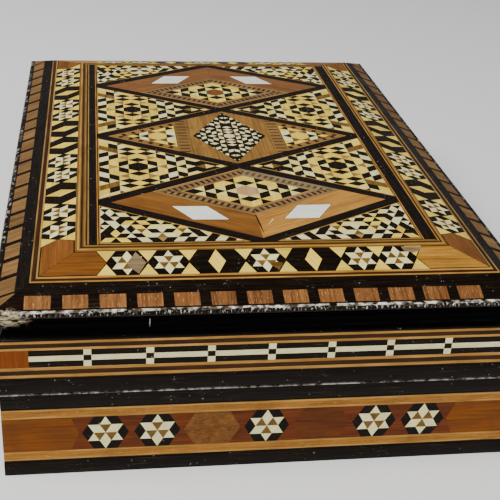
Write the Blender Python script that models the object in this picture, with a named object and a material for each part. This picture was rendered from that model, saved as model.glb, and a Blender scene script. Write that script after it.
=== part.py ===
"""Inlaid cigarette box with a lift-off lid.

The box stands on its underside at z = 0, centred on the origin, with its length along Y. Its front is the
short side that faces -Y. A mitred body and a mitred lid frame carry strips of marquetry on their sides. On
the lid lies a board, whose edge is a moulding with a rounded lip, and on the board lie sloping marquetry
bands, mitred at the corners, around a flat panel of three diamonds.
"""

import math

import bmesh
import bpy
from mathutils import Vector

# Inside and walls, in metres
INSIDE_WIDTH = 0.0867
INSIDE_LENGTH = 0.1267
WALL = 0.006
BOTTOM_BOARD = 0.004

# Clearances and the thickness of every inlaid strip
GAP = 0.0003
VENEER = 0.0008

# Rim of the body that stands up inside the lid
RIM_THICKNESS = 0.003
RIM_HEIGHT = 0.0022

# Inlay on the sides, with the plain wood above and below each strip
BODY_BAND_ABOVE_BASE = 0.0034
BODY_BAND_HEIGHT = 0.0117
BODY_BAND_BELOW_SEAM = 0.0033
LID_BAND_ABOVE_SEAM = 0.0033
LID_BAND_HEIGHT = 0.0078
LID_BAND_LAND = 0.0001

# Hollow moulding under the lip
COVE_HEIGHT = 0.0037
COVE_DEPTH = 0.0012
COVE_FILLET = 0.0003
COVE_STEPS = 8

# Lid top, measured inward from the outer edge of the lip
LIP_OVERHANG = 0.00065
LIP_HEIGHT = 0.00145
LIP_ROUND = 0.0008
LIP_STEPS = 6
MOULDING_WIDTH = 0.0066
MOULDING_REBATE = 0.0033
BOARD_TONGUE = 0.0018
EDGE_SLOPE = math.radians(21.0)
BEVEL_WIDTH = 0.0089
BEVEL_SLOPE = math.radians(12.7)
PANEL_BORDER = 0.0011
PANEL_STRIPE = 0.0018

# Panel pattern
DIAMONDS = 3
STRIP_WIDTH = 0.0024
LOZENGE_LENGTH = 0.0230
END_TRIANGLE_HEIGHT = 0.0191
RHOMBUS_MARGIN = 0.0006
PEARL_MARGIN = 0.0006
PEARL_FROM_MIDDLE = 0.0110
PEARL_ANGLE = math.radians(57.0)

# Sizes that follow
BODY_X = INSIDE_WIDTH / 2 + WALL
BODY_Y = INSIDE_LENGTH / 2 + WALL
LID_X = BODY_X + LIP_OVERHANG
LID_Y = BODY_Y + LIP_OVERHANG
BODY_HEIGHT = BODY_BAND_ABOVE_BASE + BODY_BAND_HEIGHT + BODY_BAND_BELOW_SEAM
SEAM = BODY_HEIGHT + GAP
LID_BAND_TOP = SEAM + LID_BAND_ABOVE_SEAM + LID_BAND_HEIGHT
COVE_BOTTOM = LID_BAND_TOP + GAP + LID_BAND_LAND
LID_WALL_TOP = COVE_BOTTOM + COVE_HEIGHT + COVE_FILLET
BOARD_UNDERSIDE = LID_WALL_TOP + GAP
PANEL_EDGE = MOULDING_WIDTH + BEVEL_WIDTH
MITRE_GAP = GAP / math.sqrt(2)
RECESS = VENEER + GAP
EDGE_RISE = (MOULDING_WIDTH - LIP_ROUND) * math.tan(EDGE_SLOPE)
PANEL_TOP = BOARD_UNDERSIDE + LIP_HEIGHT + EDGE_RISE + BEVEL_WIDTH * math.tan(BEVEL_SLOPE)
STRIPE_OUTER = LID_X - PANEL_EDGE - PANEL_BORDER - GAP
FIELD_X = STRIPE_OUTER - PANEL_STRIPE - GAP
FIELD_Y = LID_Y - PANEL_EDGE - PANEL_BORDER - GAP
CELL_Y = FIELD_Y / DIAMONDS
PATTERN_ANGLE = math.atan2(CELL_Y, FIELD_X)
STRIP_RUN_X = STRIP_WIDTH / 2 / math.sin(PATTERN_ANGLE)
STRIP_RUN_Y = STRIP_WIDTH / 2 / math.cos(PATTERN_ANGLE)

# Each side's direction along its run and its direction outward
SIDES = {
    "front": (Vector((1, 0, 0)), Vector((0, -1, 0))),
    "right": (Vector((0, 1, 0)), Vector((1, 0, 0))),
    "back": (Vector((-1, 0, 0)), Vector((0, 1, 0))),
    "left": (Vector((0, -1, 0)), Vector((-1, 0, 0))),
}

# Wood and shell colours, as linear RGB with a roughness
FINISHES = {
    "black_wood": ((0.012, 0.010, 0.008), 0.35),
    "dark_lining": ((0.060, 0.034, 0.018), 0.60),
    "inlay_wood": ((0.190, 0.080, 0.022), 0.40),
    "line_inlay": ((0.450, 0.390, 0.270), 0.40),
    "edge_wood": ((0.150, 0.072, 0.030), 0.45),
    "star_marquetry": ((0.420, 0.290, 0.100), 0.40),
    "fine_marquetry": ((0.380, 0.320, 0.170), 0.40),
    "brown_wood": ((0.300, 0.130, 0.040), 0.40),
    "pearl": ((0.750, 0.760, 0.720), 0.20),
}


def clear_scene():
    for item in list(bpy.data.objects):
        bpy.data.objects.remove(item, do_unlink=True)


def finish(slot):
    """The material of one slot, made the first time it is asked for."""
    material = bpy.data.materials.get(slot)
    if material is None:
        colour, roughness = FINISHES[slot]
        material = bpy.data.materials.new(slot)
        material.use_nodes = True
        shader = material.node_tree.nodes["Principled BSDF"]
        shader.inputs["Base Color"].default_value = (*colour, 1.0)
        shader.inputs["Roughness"].default_value = roughness
    return material


def loft(name, loops, slot):
    """A closed solid through loops of equal length, capped at both ends."""
    body = bmesh.new()
    rows = [[body.verts.new(point) for point in loop] for loop in loops]
    count = len(loops[0])
    for near, far in zip(rows, rows[1:]):
        for i in range(count):
            j = (i + 1) % count
            body.faces.new((near[i], near[j], far[j], far[i]))
    body.faces.new(reversed(rows[0]))
    body.faces.new(rows[-1])
    bmesh.ops.recalc_face_normals(body, faces=body.faces)
    mesh = bpy.data.meshes.new(name)
    body.to_mesh(mesh)
    body.free()
    piece = bpy.data.objects.new(name, mesh)
    bpy.context.scene.collection.objects.link(piece)
    mesh.materials.append(finish(slot))
    return piece


def side_point(side, along, out, height):
    run, outward = SIDES[side]
    return run * along + outward * out + Vector((0, 0, height))


def half_sizes(side, half_x, half_y):
    """Half the length of a side and its distance from the centre."""
    return (half_x, half_y) if side in ("front", "back") else (half_y, half_x)


def mitred_strip(name, profile, side, half_x, half_y, slot):
    """One side of a frame: profile points are (distance inward, height), its ends are cut at 45 degrees."""
    half_along, half_out = half_sizes(side, half_x, half_y)
    loops = [
        [
            side_point(side, end * (half_along - inward - MITRE_GAP), half_out - inward, height)
            for inward, height in profile
        ]
        for end in (-1, 1)
    ]
    return loft(name, loops, slot)


def square_strip(name, profile, side, half_x, half_y, half_length, slot):
    """One side of a frame with its ends cut square at half_length."""
    half_out = half_sizes(side, half_x, half_y)[1]
    loops = [
        [side_point(side, end * half_length, half_out - inward, height) for inward, height in profile]
        for end in (-1, 1)
    ]
    return loft(name, loops, slot)


def wrapped_strip(name, profile, side, half_x, half_y, stop, slot):
    """One side of a frame that runs round both corners, up to the distance stop from the middle plane."""
    half_along, half_out = half_sizes(side, half_x, half_y)
    loops = []
    for end, at_corner in ((-1, False), (-1, True), (1, True), (1, False)):
        loops.append(
            [
                side_point(
                    side,
                    end * (half_along - inward),
                    half_out - inward if at_corner else stop,
                    height,
                )
                for inward, height in profile
            ]
        )
    return loft(name, loops, slot)


def prism(name, outline, bottom, top, slot):
    return loft(name, [[Vector((x, y, z)) for x, y in outline] for z in (bottom, top)], slot)


def inset(outline, distance):
    """A convex or V-shaped outline, listed anticlockwise, with every edge moved inward."""
    points = [Vector(point) for point in outline]
    moved = []
    for i, here in enumerate(points):
        before = (here - points[i - 1]).normalized()
        after = (points[(i + 1) % len(points)] - here).normalized()
        bisector = Vector((-before.y - after.y, before.x + after.x))
        reach = distance / max(1 + before.dot(after), 1e-6)
        moved.append(here + bisector * reach)
    return moved


def turned(outline, sign_x, sign_y, centre=(0.0, 0.0)):
    """The outline mirrored by the signs, moved to the centre, and still anticlockwise."""
    points = [(sign_x * x + centre[0], sign_y * y + centre[1]) for x, y in outline]
    return points if sign_x * sign_y > 0 else points[::-1]


def surface(inward):
    """Height of the lid's top at a distance inward from its outer edge."""
    height = PANEL_TOP
    if inward < PANEL_EDGE:
        height -= (PANEL_EDGE - max(inward, MOULDING_WIDTH)) * math.tan(BEVEL_SLOPE)
    if inward < MOULDING_WIDTH:
        height -= (MOULDING_WIDTH - inward) * math.tan(EDGE_SLOPE)
    return height


def cove():
    """A hollow of circular section, from the face of the wall inward and back, going up."""
    half = COVE_HEIGHT / 2
    radius = (half * half + COVE_DEPTH * COVE_DEPTH) / (2 * COVE_DEPTH)
    reach = math.asin(half / radius)
    points = []
    for step in range(COVE_STEPS + 1):
        angle = reach * (2 * step / COVE_STEPS - 1)
        inward = COVE_DEPTH - radius * (1 - math.cos(angle))
        points.append((max(inward, 0.0), COVE_BOTTOM + half + radius * math.sin(angle)))
    return points


def lip():
    """The rounded outer edge of the moulding, from its underside up to its top."""
    points = []
    for step in range(LIP_STEPS + 1):
        angle = math.pi * (step / LIP_STEPS - 0.5)
        inward = LIP_ROUND * (1 - math.cos(angle))
        points.append((inward, BOARD_UNDERSIDE + LIP_HEIGHT / 2 * (1 + math.sin(angle))))
    return points


def make_body():
    floor_x = INSIDE_WIDTH / 2 - GAP
    floor_y = INSIDE_LENGTH / 2 - GAP
    floor = [(-floor_x, -floor_y), (floor_x, -floor_y), (floor_x, floor_y), (-floor_x, floor_y)]
    prism("bottom_board", floor, 0.0, BOTTOM_BOARD, "dark_lining")
    band_bottom = BODY_BAND_ABOVE_BASE
    band_top = band_bottom + BODY_BAND_HEIGHT
    rim_outer = WALL - RIM_THICKNESS
    wall = [
        (0.0, 0.0),
        (0.0, band_bottom - GAP),
        (RECESS, band_bottom - GAP),
        (RECESS, band_top + GAP),
        (0.0, band_top + GAP),
        (0.0, BODY_HEIGHT),
        (rim_outer, BODY_HEIGHT),
        (rim_outer, BODY_HEIGHT + RIM_HEIGHT),
        (WALL, BODY_HEIGHT + RIM_HEIGHT),
        (WALL, 0.0),
    ]
    band = [(0.0, band_bottom), (0.0, band_top), (VENEER, band_top), (VENEER, band_bottom)]
    for side in SIDES:
        mitred_strip(f"body_wall_{side}", wall, side, BODY_X, BODY_Y, "black_wood")
        mitred_strip(f"body_star_band_{side}", band, side, BODY_X, BODY_Y, "inlay_wood")


def make_lid_frame():
    band_bottom = LID_BAND_TOP - LID_BAND_HEIGHT
    band_top = LID_BAND_TOP
    rebate_inner = WALL - RIM_THICKNESS - GAP
    rebate_top = BODY_HEIGHT + RIM_HEIGHT + GAP
    wall = [
        (0.0, SEAM),
        (0.0, band_bottom - GAP),
        (RECESS, band_bottom - GAP),
        (RECESS, band_top + GAP),
        (0.0, band_top + GAP),
        *cove(),
        (0.0, LID_WALL_TOP),
        (WALL, LID_WALL_TOP),
        (WALL, rebate_top),
        (rebate_inner, rebate_top),
        (rebate_inner, SEAM),
    ]
    band = [(0.0, band_bottom), (0.0, band_top), (VENEER, band_top), (VENEER, band_bottom)]
    for side in SIDES:
        mitred_strip(f"lid_wall_{side}", wall, side, BODY_X, BODY_Y, "black_wood")
        mitred_strip(f"lid_line_band_{side}", band, side, BODY_X, BODY_Y, "line_inlay")


def make_lid_board():
    """The board under the marquetry, with a tongue under the moulding all round."""
    tongue = MOULDING_REBATE + GAP
    seat = MOULDING_WIDTH + GAP / 2
    tongue_top = BOARD_UNDERSIDE + BOARD_TONGUE
    levels = [
        (tongue, BOARD_UNDERSIDE),
        (tongue, tongue_top),
        (seat, tongue_top),
        (seat, surface(seat) - RECESS),
        (PANEL_EDGE, PANEL_TOP - RECESS),
    ]
    loops = []
    for inward, height in levels:
        x = LID_X - inward
        y = LID_Y - inward
        corners = ((-x, -y), (x, -y), (x, y), (-x, y))
        loops.append([Vector((*corner, height)) for corner in corners])
    loft("lid_board", loops, "dark_lining")


def make_mouldings():
    """Side mouldings run past the corners, and the front and back ones stand between them."""
    inner = MOULDING_WIDTH - GAP / 2
    shelf = BOARD_UNDERSIDE + BOARD_TONGUE + GAP
    profile = [
        *lip(),
        (inner, surface(inner)),
        (inner, shelf),
        (MOULDING_REBATE, shelf),
        (MOULDING_REBATE, BOARD_UNDERSIDE),
    ]
    stop = LID_X - inner - GAP / 2
    for side in ("left", "right"):
        wrapped_strip(f"edge_moulding_{side}", profile, side, LID_X, LID_Y, stop, "edge_wood")
    for side in ("front", "back"):
        square_strip(f"edge_moulding_{side}", profile, side, LID_X, LID_Y, stop - GAP, "edge_wood")


def make_bevel_bands():
    outer = MOULDING_WIDTH + GAP / 2
    inner = PANEL_EDGE + PANEL_BORDER
    top = [(outer, surface(outer)), (PANEL_EDGE, PANEL_TOP), (inner, PANEL_TOP)]
    under = [(inward, height - VENEER) for inward, height in reversed(top)]
    for side in SIDES:
        mitred_strip(f"bevel_band_{side}", top + under, side, LID_X, LID_Y, "star_marquetry")


def panel_piece(name, outline, slot, clearance=GAP / 2):
    """A flat piece of the panel, cut back by half a joint on every edge."""
    return prism(name, inset(outline, clearance), PANEL_TOP - VENEER, PANEL_TOP, slot)


def let_in(name, outline, ground, slot):
    """Cuts a through pocket in the ground and fills it with an inlay, one gap smaller all round."""
    prism(name, inset(outline, GAP), PANEL_TOP - VENEER, PANEL_TOP, slot)
    cutter = prism(f"{name}_pocket", outline, PANEL_TOP - 2 * VENEER, PANEL_TOP + VENEER, slot)
    cutter.hide_render = True
    cutter.display_type = "WIRE"
    pocket = ground.modifiers.new("pocket", "BOOLEAN")
    pocket.operation = "DIFFERENCE"
    pocket.solver = "EXACT"
    pocket.object = cutter


def make_stripes():
    inner = STRIPE_OUTER - PANEL_STRIPE
    for side, sign in (("left", -1), ("right", 1)):
        outline = [(inner, -FIELD_Y), (STRIPE_OUTER, -FIELD_Y), (STRIPE_OUTER, FIELD_Y), (inner, FIELD_Y)]
        panel_piece(f"panel_stripe_{side}", turned(outline, sign, 1), "black_wood", 0.0)


def make_strips():
    """The black strips that outline the diamonds: one to each quarter of a diamond."""
    quarter = [
        (0.0, 0.0),
        (STRIP_RUN_X, 0.0),
        (FIELD_X, CELL_Y - STRIP_RUN_Y),
        (FIELD_X, CELL_Y),
        (FIELD_X - STRIP_RUN_X, CELL_Y),
        (0.0, STRIP_RUN_Y),
    ]
    number = 0
    for row in range(DIAMONDS):
        middle = (2 * row + 1 - DIAMONDS) * CELL_Y
        for sign_y in (-1, 1):
            for sign_x in (-1, 1):
                number += 1
                apex = (0.0, middle + sign_y * CELL_Y)
                outline = turned(quarter, sign_x, -sign_y, apex)
                panel_piece(f"diamond_strip_{number}", outline, "black_wood")


def make_side_fields():
    """Triangles between two diamonds on each side, and half triangles in the corners."""
    for side, sign in (("left", -1), ("right", 1)):
        for joint in range(1, DIAMONDS):
            middle = (2 * joint - DIAMONDS) * CELL_Y
            half = CELL_Y - STRIP_RUN_Y
            outline = [(STRIP_RUN_X, 0.0), (FIELD_X, -half), (FIELD_X, half)]
            field = turned(outline, sign, 1, (0.0, middle))
            panel_piece(f"side_field_{side}_{joint}", field, "fine_marquetry")
        for end, sign_y in (("front", -1), ("back", 1)):
            outline = [(STRIP_RUN_X, 0.0), (FIELD_X, 0.0), (FIELD_X, CELL_Y - STRIP_RUN_Y)]
            corner = turned(outline, sign, -sign_y, (0.0, sign_y * FIELD_Y))
            panel_piece(f"corner_field_{end}_{side}", corner, "fine_marquetry")


def pearl_pocket(arm_width, arm_middle):
    """A rhombus that fills the right arm of a chevron but for a margin, its long diagonal along the arm."""
    centre = Vector((PEARL_FROM_MIDDLE, arm_middle - PEARL_FROM_MIDDLE * math.tan(PATTERN_ANGLE)))
    across = arm_width / 2 - PEARL_MARGIN
    along = across / math.tan(PEARL_ANGLE / 2)
    down_arm = Vector((math.cos(PATTERN_ANGLE), -math.sin(PATTERN_ANGLE))) * along
    over_arm = Vector((math.sin(PATTERN_ANGLE), math.cos(PATTERN_ANGLE))) * across
    return [centre + down_arm, centre + over_arm, centre - down_arm, centre - over_arm]


def make_end_diamonds():
    """Each end diamond has a marquetry lozenge at its inner tip and a brown chevron with two pearls."""
    half_y = CELL_Y - STRIP_RUN_Y
    half_x = FIELD_X - STRIP_RUN_X
    share = LOZENGE_LENGTH / (2 * half_y)
    for end, sign in (("front", -1), ("back", 1)):
        middle = sign * (DIAMONDS - 1) * CELL_Y
        tip = -half_y + LOZENGE_LENGTH
        waist = -half_y + LOZENGE_LENGTH / 2
        lozenge = [(0.0, -half_y), (half_x * share, waist), (0.0, tip), (-half_x * share, waist)]
        outline = turned(lozenge, 1, sign, (0.0, middle))
        panel_piece(f"lozenge_{end}", outline, "fine_marquetry")
        chevron = [
            (half_x * share, waist),
            (half_x, 0.0),
            (0.0, half_y),
            (-half_x, 0.0),
            (-half_x * share, waist),
            (0.0, tip),
        ]
        piece = panel_piece(f"chevron_{end}", turned(chevron, 1, sign, (0.0, middle)), "brown_wood")
        pearl = pearl_pocket((half_y - tip) * math.cos(PATTERN_ANGLE), (half_y + tip) / 2)
        for side, sign_x in (("left", -1), ("right", 1)):
            let_in(f"pearl_{end}_{side}", turned(pearl, sign_x, sign, (0.0, middle)), piece, "pearl")


def make_middle_diamond():
    """A brown piece with a marquetry rhombus in it, between two marquetry triangles."""
    half_x = FIELD_X - STRIP_RUN_X
    half_y = CELL_Y - STRIP_RUN_Y
    base_x = half_x - END_TRIANGLE_HEIGHT
    base_y = half_y * END_TRIANGLE_HEIGHT / half_x
    for side, sign in (("left", -1), ("right", 1)):
        outline = [(base_x, -base_y), (half_x, 0.0), (base_x, base_y)]
        panel_piece(f"end_triangle_{side}", turned(outline, sign, 1), "fine_marquetry")
    centre = [
        (base_x, -base_y),
        (base_x, base_y),
        (0.0, half_y),
        (-base_x, base_y),
        (-base_x, -base_y),
        (0.0, -half_y),
    ]
    ground = panel_piece("middle_diamond", centre, "brown_wood")
    wide = base_x - RHOMBUS_MARGIN
    long = half_y - RHOMBUS_MARGIN
    rhombus = [(wide, 0.0), (0.0, long), (-wide, 0.0), (0.0, -long)]
    let_in("middle_rhombus", rhombus, ground, "fine_marquetry")


def main():
    clear_scene()
    make_body()
    make_lid_frame()
    make_lid_board()
    make_mouldings()
    make_bevel_bands()
    make_stripes()
    make_strips()
    make_side_fields()
    make_end_diamonds()
    make_middle_diamond()


main()
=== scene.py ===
"""Inlaid cigarette box: the finish of every surface, its marquetry, its wear and the camera.

All sizes are in millimetres and are turned to metres where a mesh is made. Where a piece sits is read from
the frame. A chip is one small flat piece of an inlay: its outline, its wood, how far it stands proud of its
neighbours and the direction of its grain. Chips are laid on a sheet, which is a plane of the box.
"""

import math
import random

import bmesh
import bpy
from mathutils import Matrix, Vector


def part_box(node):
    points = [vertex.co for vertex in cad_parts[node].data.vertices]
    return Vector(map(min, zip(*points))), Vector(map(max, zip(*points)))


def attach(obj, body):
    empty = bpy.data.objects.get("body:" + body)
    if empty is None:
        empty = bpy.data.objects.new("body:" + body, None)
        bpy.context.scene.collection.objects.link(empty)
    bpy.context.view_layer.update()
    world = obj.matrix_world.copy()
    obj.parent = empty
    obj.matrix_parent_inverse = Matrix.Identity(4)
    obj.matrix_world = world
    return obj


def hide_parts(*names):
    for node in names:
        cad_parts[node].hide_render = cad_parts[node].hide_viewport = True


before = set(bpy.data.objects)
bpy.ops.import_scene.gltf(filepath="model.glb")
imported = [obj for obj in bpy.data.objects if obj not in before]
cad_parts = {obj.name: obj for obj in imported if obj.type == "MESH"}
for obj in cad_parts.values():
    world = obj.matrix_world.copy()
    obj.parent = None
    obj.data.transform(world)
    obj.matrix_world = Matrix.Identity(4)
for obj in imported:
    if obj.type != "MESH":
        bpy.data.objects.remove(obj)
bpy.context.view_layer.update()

MM = 0.001
ROOT3 = math.sqrt(3.0)


def span(node):
    """Lowest and highest corner of a node, in millimetres."""
    low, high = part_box(node)
    return Vector(low) / MM, Vector(high) / MM


# Sizes read from the frame
LID_HIGH = span("edge_moulding_right")[1]
LID_X = LID_HIGH.x
LID_Y = LID_HIGH.y
WALL_LOW, WALL_HIGH = span("body_wall_front")
BODY_X = WALL_HIGH.x
BODY_Y = -WALL_LOW.y
WALL = WALL_HIGH.y - WALL_LOW.y
RIM_TOP = WALL_HIGH.z
PANEL_LOW, PANEL_HIGH = span("middle_diamond")
PANEL_TOP = PANEL_HIGH.z
VENEER = PANEL_HIGH.z - PANEL_LOW.z
BODY_BAND = [corner.z for corner in span("body_star_band_front")]
LID_BAND = [corner.z for corner in span("lid_line_band_front")]
LID_WALL = [corner.z for corner in span("lid_wall_front")]
MOULDING_LOW, MOULDING_HIGH = span("edge_moulding_front")
BEVEL_LOW, BEVEL_HIGH = span("bevel_band_front")
STRIPE_LOW, STRIPE_HIGH = span("panel_stripe_right")
FIELD_Y = -span("corner_field_front_right")[0].y

# Values of the construction that the boxes of the nodes don't give
GAP = 0.3
PANEL_BORDER = 1.1
LIP_ROUND = 0.8
LIP_HEIGHT = 1.45
MOULDING_SHELF = 1.8
COVE_HEIGHT = 3.7
COVE_DEPTH = 1.2
COVE_FILLET = 0.3
RIM_THICKNESS = 3.0
TONGUE = 3.3
DIAMONDS = 3

# Inlay: ground below the surface, depth of a chip in it, play between chips and how uneven their tops are
GROUND_DROP = 0.09
CHIP_ROOT = 0.05
TOP_DROP = 0.032
UNEVEN = 0.008
JOINT = 0.03
OVERLAY = 0.014

# A flat piece grows by this much on each side, which leaves one joint in the CAD's gap
GROWTH = (GAP - JOINT) / 2

# Smallest chip that is kept where a field is cut to its outline, and smallest that is made, in square mm
SLIVER = 0.03
SPECK = 0.01

# How far the middle of a worn corner reaches from its chord to the sharp corner
ROUNDING = 0.45

# The rhombus in a long hexagon is a little narrower than one of the lattice
HEART_WIDTH = 0.86

# The chips of a piece are cut from boards of this size, so that no two show the same grain
BOARD = 90

# Beyond every edge of the box, for lines that are cut to their piece afterwards
BEYOND = 100.0

RIDGE_Y = -BEVEL_HIGH.y + PANEL_BORDER
BEVEL_OUTER_Y = -BEVEL_LOW.y
BEVEL_RISE = (BEVEL_HIGH.z - BEVEL_LOW.z - VENEER) / (BEVEL_OUTER_Y - RIDGE_Y)
RIDGE_IN = LID_Y - RIDGE_Y
BEVEL_IN = LID_Y - BEVEL_OUTER_Y
MOULDING_IN = MOULDING_HIGH.y + LID_Y
LIP_TOP = MOULDING_LOW.z + LIP_HEIGHT
MOULDING_RISE = (MOULDING_HIGH.z - LIP_TOP) / (MOULDING_IN - LIP_ROUND)

SIDES = {"front": 0, "right": 90, "back": 180, "left": 270}


def turn(side):
    return Matrix.Rotation(math.radians(SIDES[side]), 4, "Z")


def half_along(side, x, y):
    """Half the length of a side of a frame with these half sizes."""
    return x if side in ("front", "back") else y


def half_out(side, x, y):
    """Distance of a side from the middle of the box."""
    return y if side in ("front", "back") else x


def linear(code):
    """An sRGB hex colour as linear RGBA."""
    parts = [int(code[i : i + 2], 16) / 255 for i in (0, 2, 4)]
    return (*(p / 12.92 if p <= 0.04045 else ((p + 0.055) / 1.055) ** 2.4 for p in parts), 1.0)


# Kinds of node that the materials use most, and a setting that one of them has all through
MATHS = "ShaderNodeMath"
RANGE = "ShaderNodeMapRange"
MIX = "ShaderNodeMix"
NOISE = "ShaderNodeTexNoise"
MAPPING = "ShaderNodeMapping"
USUAL = {MIX: {"data_type": "RGBA"}}


def fill(node, inputs):
    """Sets a node's inputs by name, or in the order in which it shows them.

    Each is a value, a hex colour, or what to link: an output, or a node, which gives its first output.
    """
    shown = [socket for socket in node.inputs if socket.enabled]
    if isinstance(inputs, dict):
        named = {socket.name: socket for socket in shown}
        pairs = [(named[key], value) for key, value in inputs.items()]
    else:
        pairs = zip(shown, inputs)
    for socket, value in pairs:
        if isinstance(value, bpy.types.Node):
            value = next(output for output in value.outputs if output.enabled)
        if isinstance(value, bpy.types.NodeSocket):
            node.id_data.links.new(value, socket)
        elif socket.type == "RGBA":
            socket.default_value = linear(value)
        else:
            socket.default_value = value


def add(tree, kind, inputs=(), **settings):
    """Adds a node with its settings, its values and its links."""
    node = tree.nodes.new(kind)
    for name, value in {**USUAL.get(kind, {}), **settings}.items():
        setattr(node, name, value)
    fill(node, inputs)
    return node


# Materials


def new_material(name):
    material = bpy.data.materials.new(name)
    material.use_nodes = True
    return material, material.node_tree, material.node_tree.nodes["Principled BSDF"]


def coordinates(tree, turned=None):
    """Millimetres along the grain (X) and across it, from the grain map.

    Where turned is given they come from the object, turned by it.
    """
    if turned is None:
        return add(tree, "ShaderNodeUVMap", uv_map="grain")
    place = add(tree, "ShaderNodeTexCoord").outputs["Object"]
    millimetres = add(tree, MAPPING, {"Vector": place, "Scale": [1 / MM] * 3})
    return add(tree, MAPPING, {"Vector": millimetres, "Rotation": (0.0, 0.0, turned)})


def streaks(tree, place, length, width, detail=3.0, distortion=0.0):
    """Noise drawn out along the grain: length and width are the size of one streak in millimetres."""
    scaled = add(tree, MAPPING, {"Vector": place, "Scale": (1 / length, 1 / width, 1 / width)})
    values = {"Vector": scaled, "Scale": 1.0, "Detail": detail, "Roughness": 0.6, "Distortion": distortion}
    return add(tree, NOISE, values)


def toned(tree, colour, low, high):
    """The colour made darker or lighter for each chip by its own tone."""
    tone = add(tree, "ShaderNodeAttribute", attribute_name="tone").outputs["Fac"]
    shade = add(tree, RANGE, [tone, 0.0, 1.0, low, high])
    grey = add(tree, "ShaderNodeCombineColor", [shade, shade, shade])
    return add(tree, MIX, [1.0, colour, grey], blend_type="MULTIPLY")


# Length of a streak for its width in the fibres, the year rings and the pores
FIBRE_LENGTH = 22
RING_LENGTH = 9
PORE_LENGTH = 9
BARE_WOOD = "E2C596"
GRIME = "2A1D12"


def timber(
    name, dark, light, fibre, ring, polish, turned=None, tones=(0.84, 1.1), dirt=0.25, long=1.0, pale=0.0
):
    """Polished wood: fibres and rings along the grain, a tone for each chip, dirt in patches and worn polish.

    fibre and ring are the widths of one streak in millimetres. Real fibres are about 0.05 mm wide, too fine
    to show here, so they are drawn 0.4 to 0.7 mm wide. long is how far they are drawn out, and pale is how
    strongly small bare flecks show. turned is the direction of the grain in a board that has no grain map.
    """
    material, tree, shader = new_material(name)
    place = coordinates(tree, turned)
    fine = streaks(tree, place, fibre * FIBRE_LENGTH * long, fibre)
    rings = streaks(tree, place, ring * RING_LENGTH * long, ring, 2.0, 0.8)
    share = add(tree, MATHS, [rings, 0.45], operation="MULTIPLY")
    figure = add(tree, MATHS, [fine, 0.55, share], operation="MULTIPLY_ADD")
    colour = add(tree, MIX, [add(tree, RANGE, [figure, 0.36, 0.62]), dark, light])
    pores = streaks(tree, place, fibre * PORE_LENGTH, fibre * 0.7, 1.0)
    open_pores = add(tree, RANGE, [pores, 0.60, 0.72, 0.0, 0.30])
    colour = add(tree, MIX, [open_pores, colour, dark])
    if pale:
        flecks = add(tree, RANGE, [streaks(tree, place, 1.3, 0.16, 1.0), 0.62, 0.70, 0.0, pale])
        colour = add(tree, MIX, [flecks, colour, BARE_WOOD])
    if turned is None:
        colour = toned(tree, colour, *tones)
    own = add(tree, "ShaderNodeTexCoord").outputs["Object"]
    clouds = add(tree, NOISE, {"Vector": own, "Scale": 160.0, "Detail": 4.0, "Roughness": 0.65})
    patches = add(tree, RANGE, [clouds, 0.50, 0.75, 0.0, dirt])
    rough = add(tree, RANGE, [clouds, 0.3, 0.7, polish - 0.07, polish + 0.12])
    bump = add(tree, "ShaderNodeBump", {"Strength": 0.25, "Distance": 0.03 * MM, "Height": fine})
    colour = add(tree, MIX, [patches, colour, GRIME])
    fill(shader, {"Base Color": colour, "Roughness": rough, "Specular IOR Level": 0.12, "Normal": bump})
    return material


def bone(name, dark, light, polish=0.32):
    """Camel bone: smooth and pale, faintly streaked, a little yellow in places, with thin dark marks."""
    material, tree, shader = new_material(name)
    place = coordinates(tree)
    cloud = streaks(tree, place, 3.0, 1.2)
    marks = add(tree, RANGE, [streaks(tree, place, 2.4, 0.12, 1.0), 0.64, 0.74, 0.0, 0.25])
    colour = add(tree, MIX, [add(tree, RANGE, [cloud, 0.35, 0.65]), dark, light])
    colour = add(tree, MIX, [marks, colour, "8A7A58"])
    rough = add(tree, RANGE, [cloud, 0.3, 0.7, polish - 0.05, polish + 0.1])
    fill(shader, {"Base Color": toned(tree, colour, 0.90, 1.04), "Roughness": rough})
    return material


def pearl_shell(name):
    """Mother of pearl: smooth, white, with wide soft clouds of pale green and pink."""
    material, tree, shader = new_material(name)
    place = coordinates(tree, 0.0)
    cloud = streaks(tree, place, 5.0, 2.2, 2.0, 1.2)
    lustre = add(tree, RANGE, [streaks(tree, place, 9.0, 0.5, 2.0), 0.52, 0.70, 0.0, 0.4])
    colour = add(tree, MIX, [add(tree, RANGE, [cloud, 0.40, 0.60]), "F1F6EC", "FFFBEC"])
    colour = add(tree, MIX, [lustre, colour, "D2E0E0"])
    fill(shader, {"Base Color": colour, "Roughness": 0.16, "Coat Weight": 0.4, "Coat Roughness": 0.08})
    return material


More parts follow.
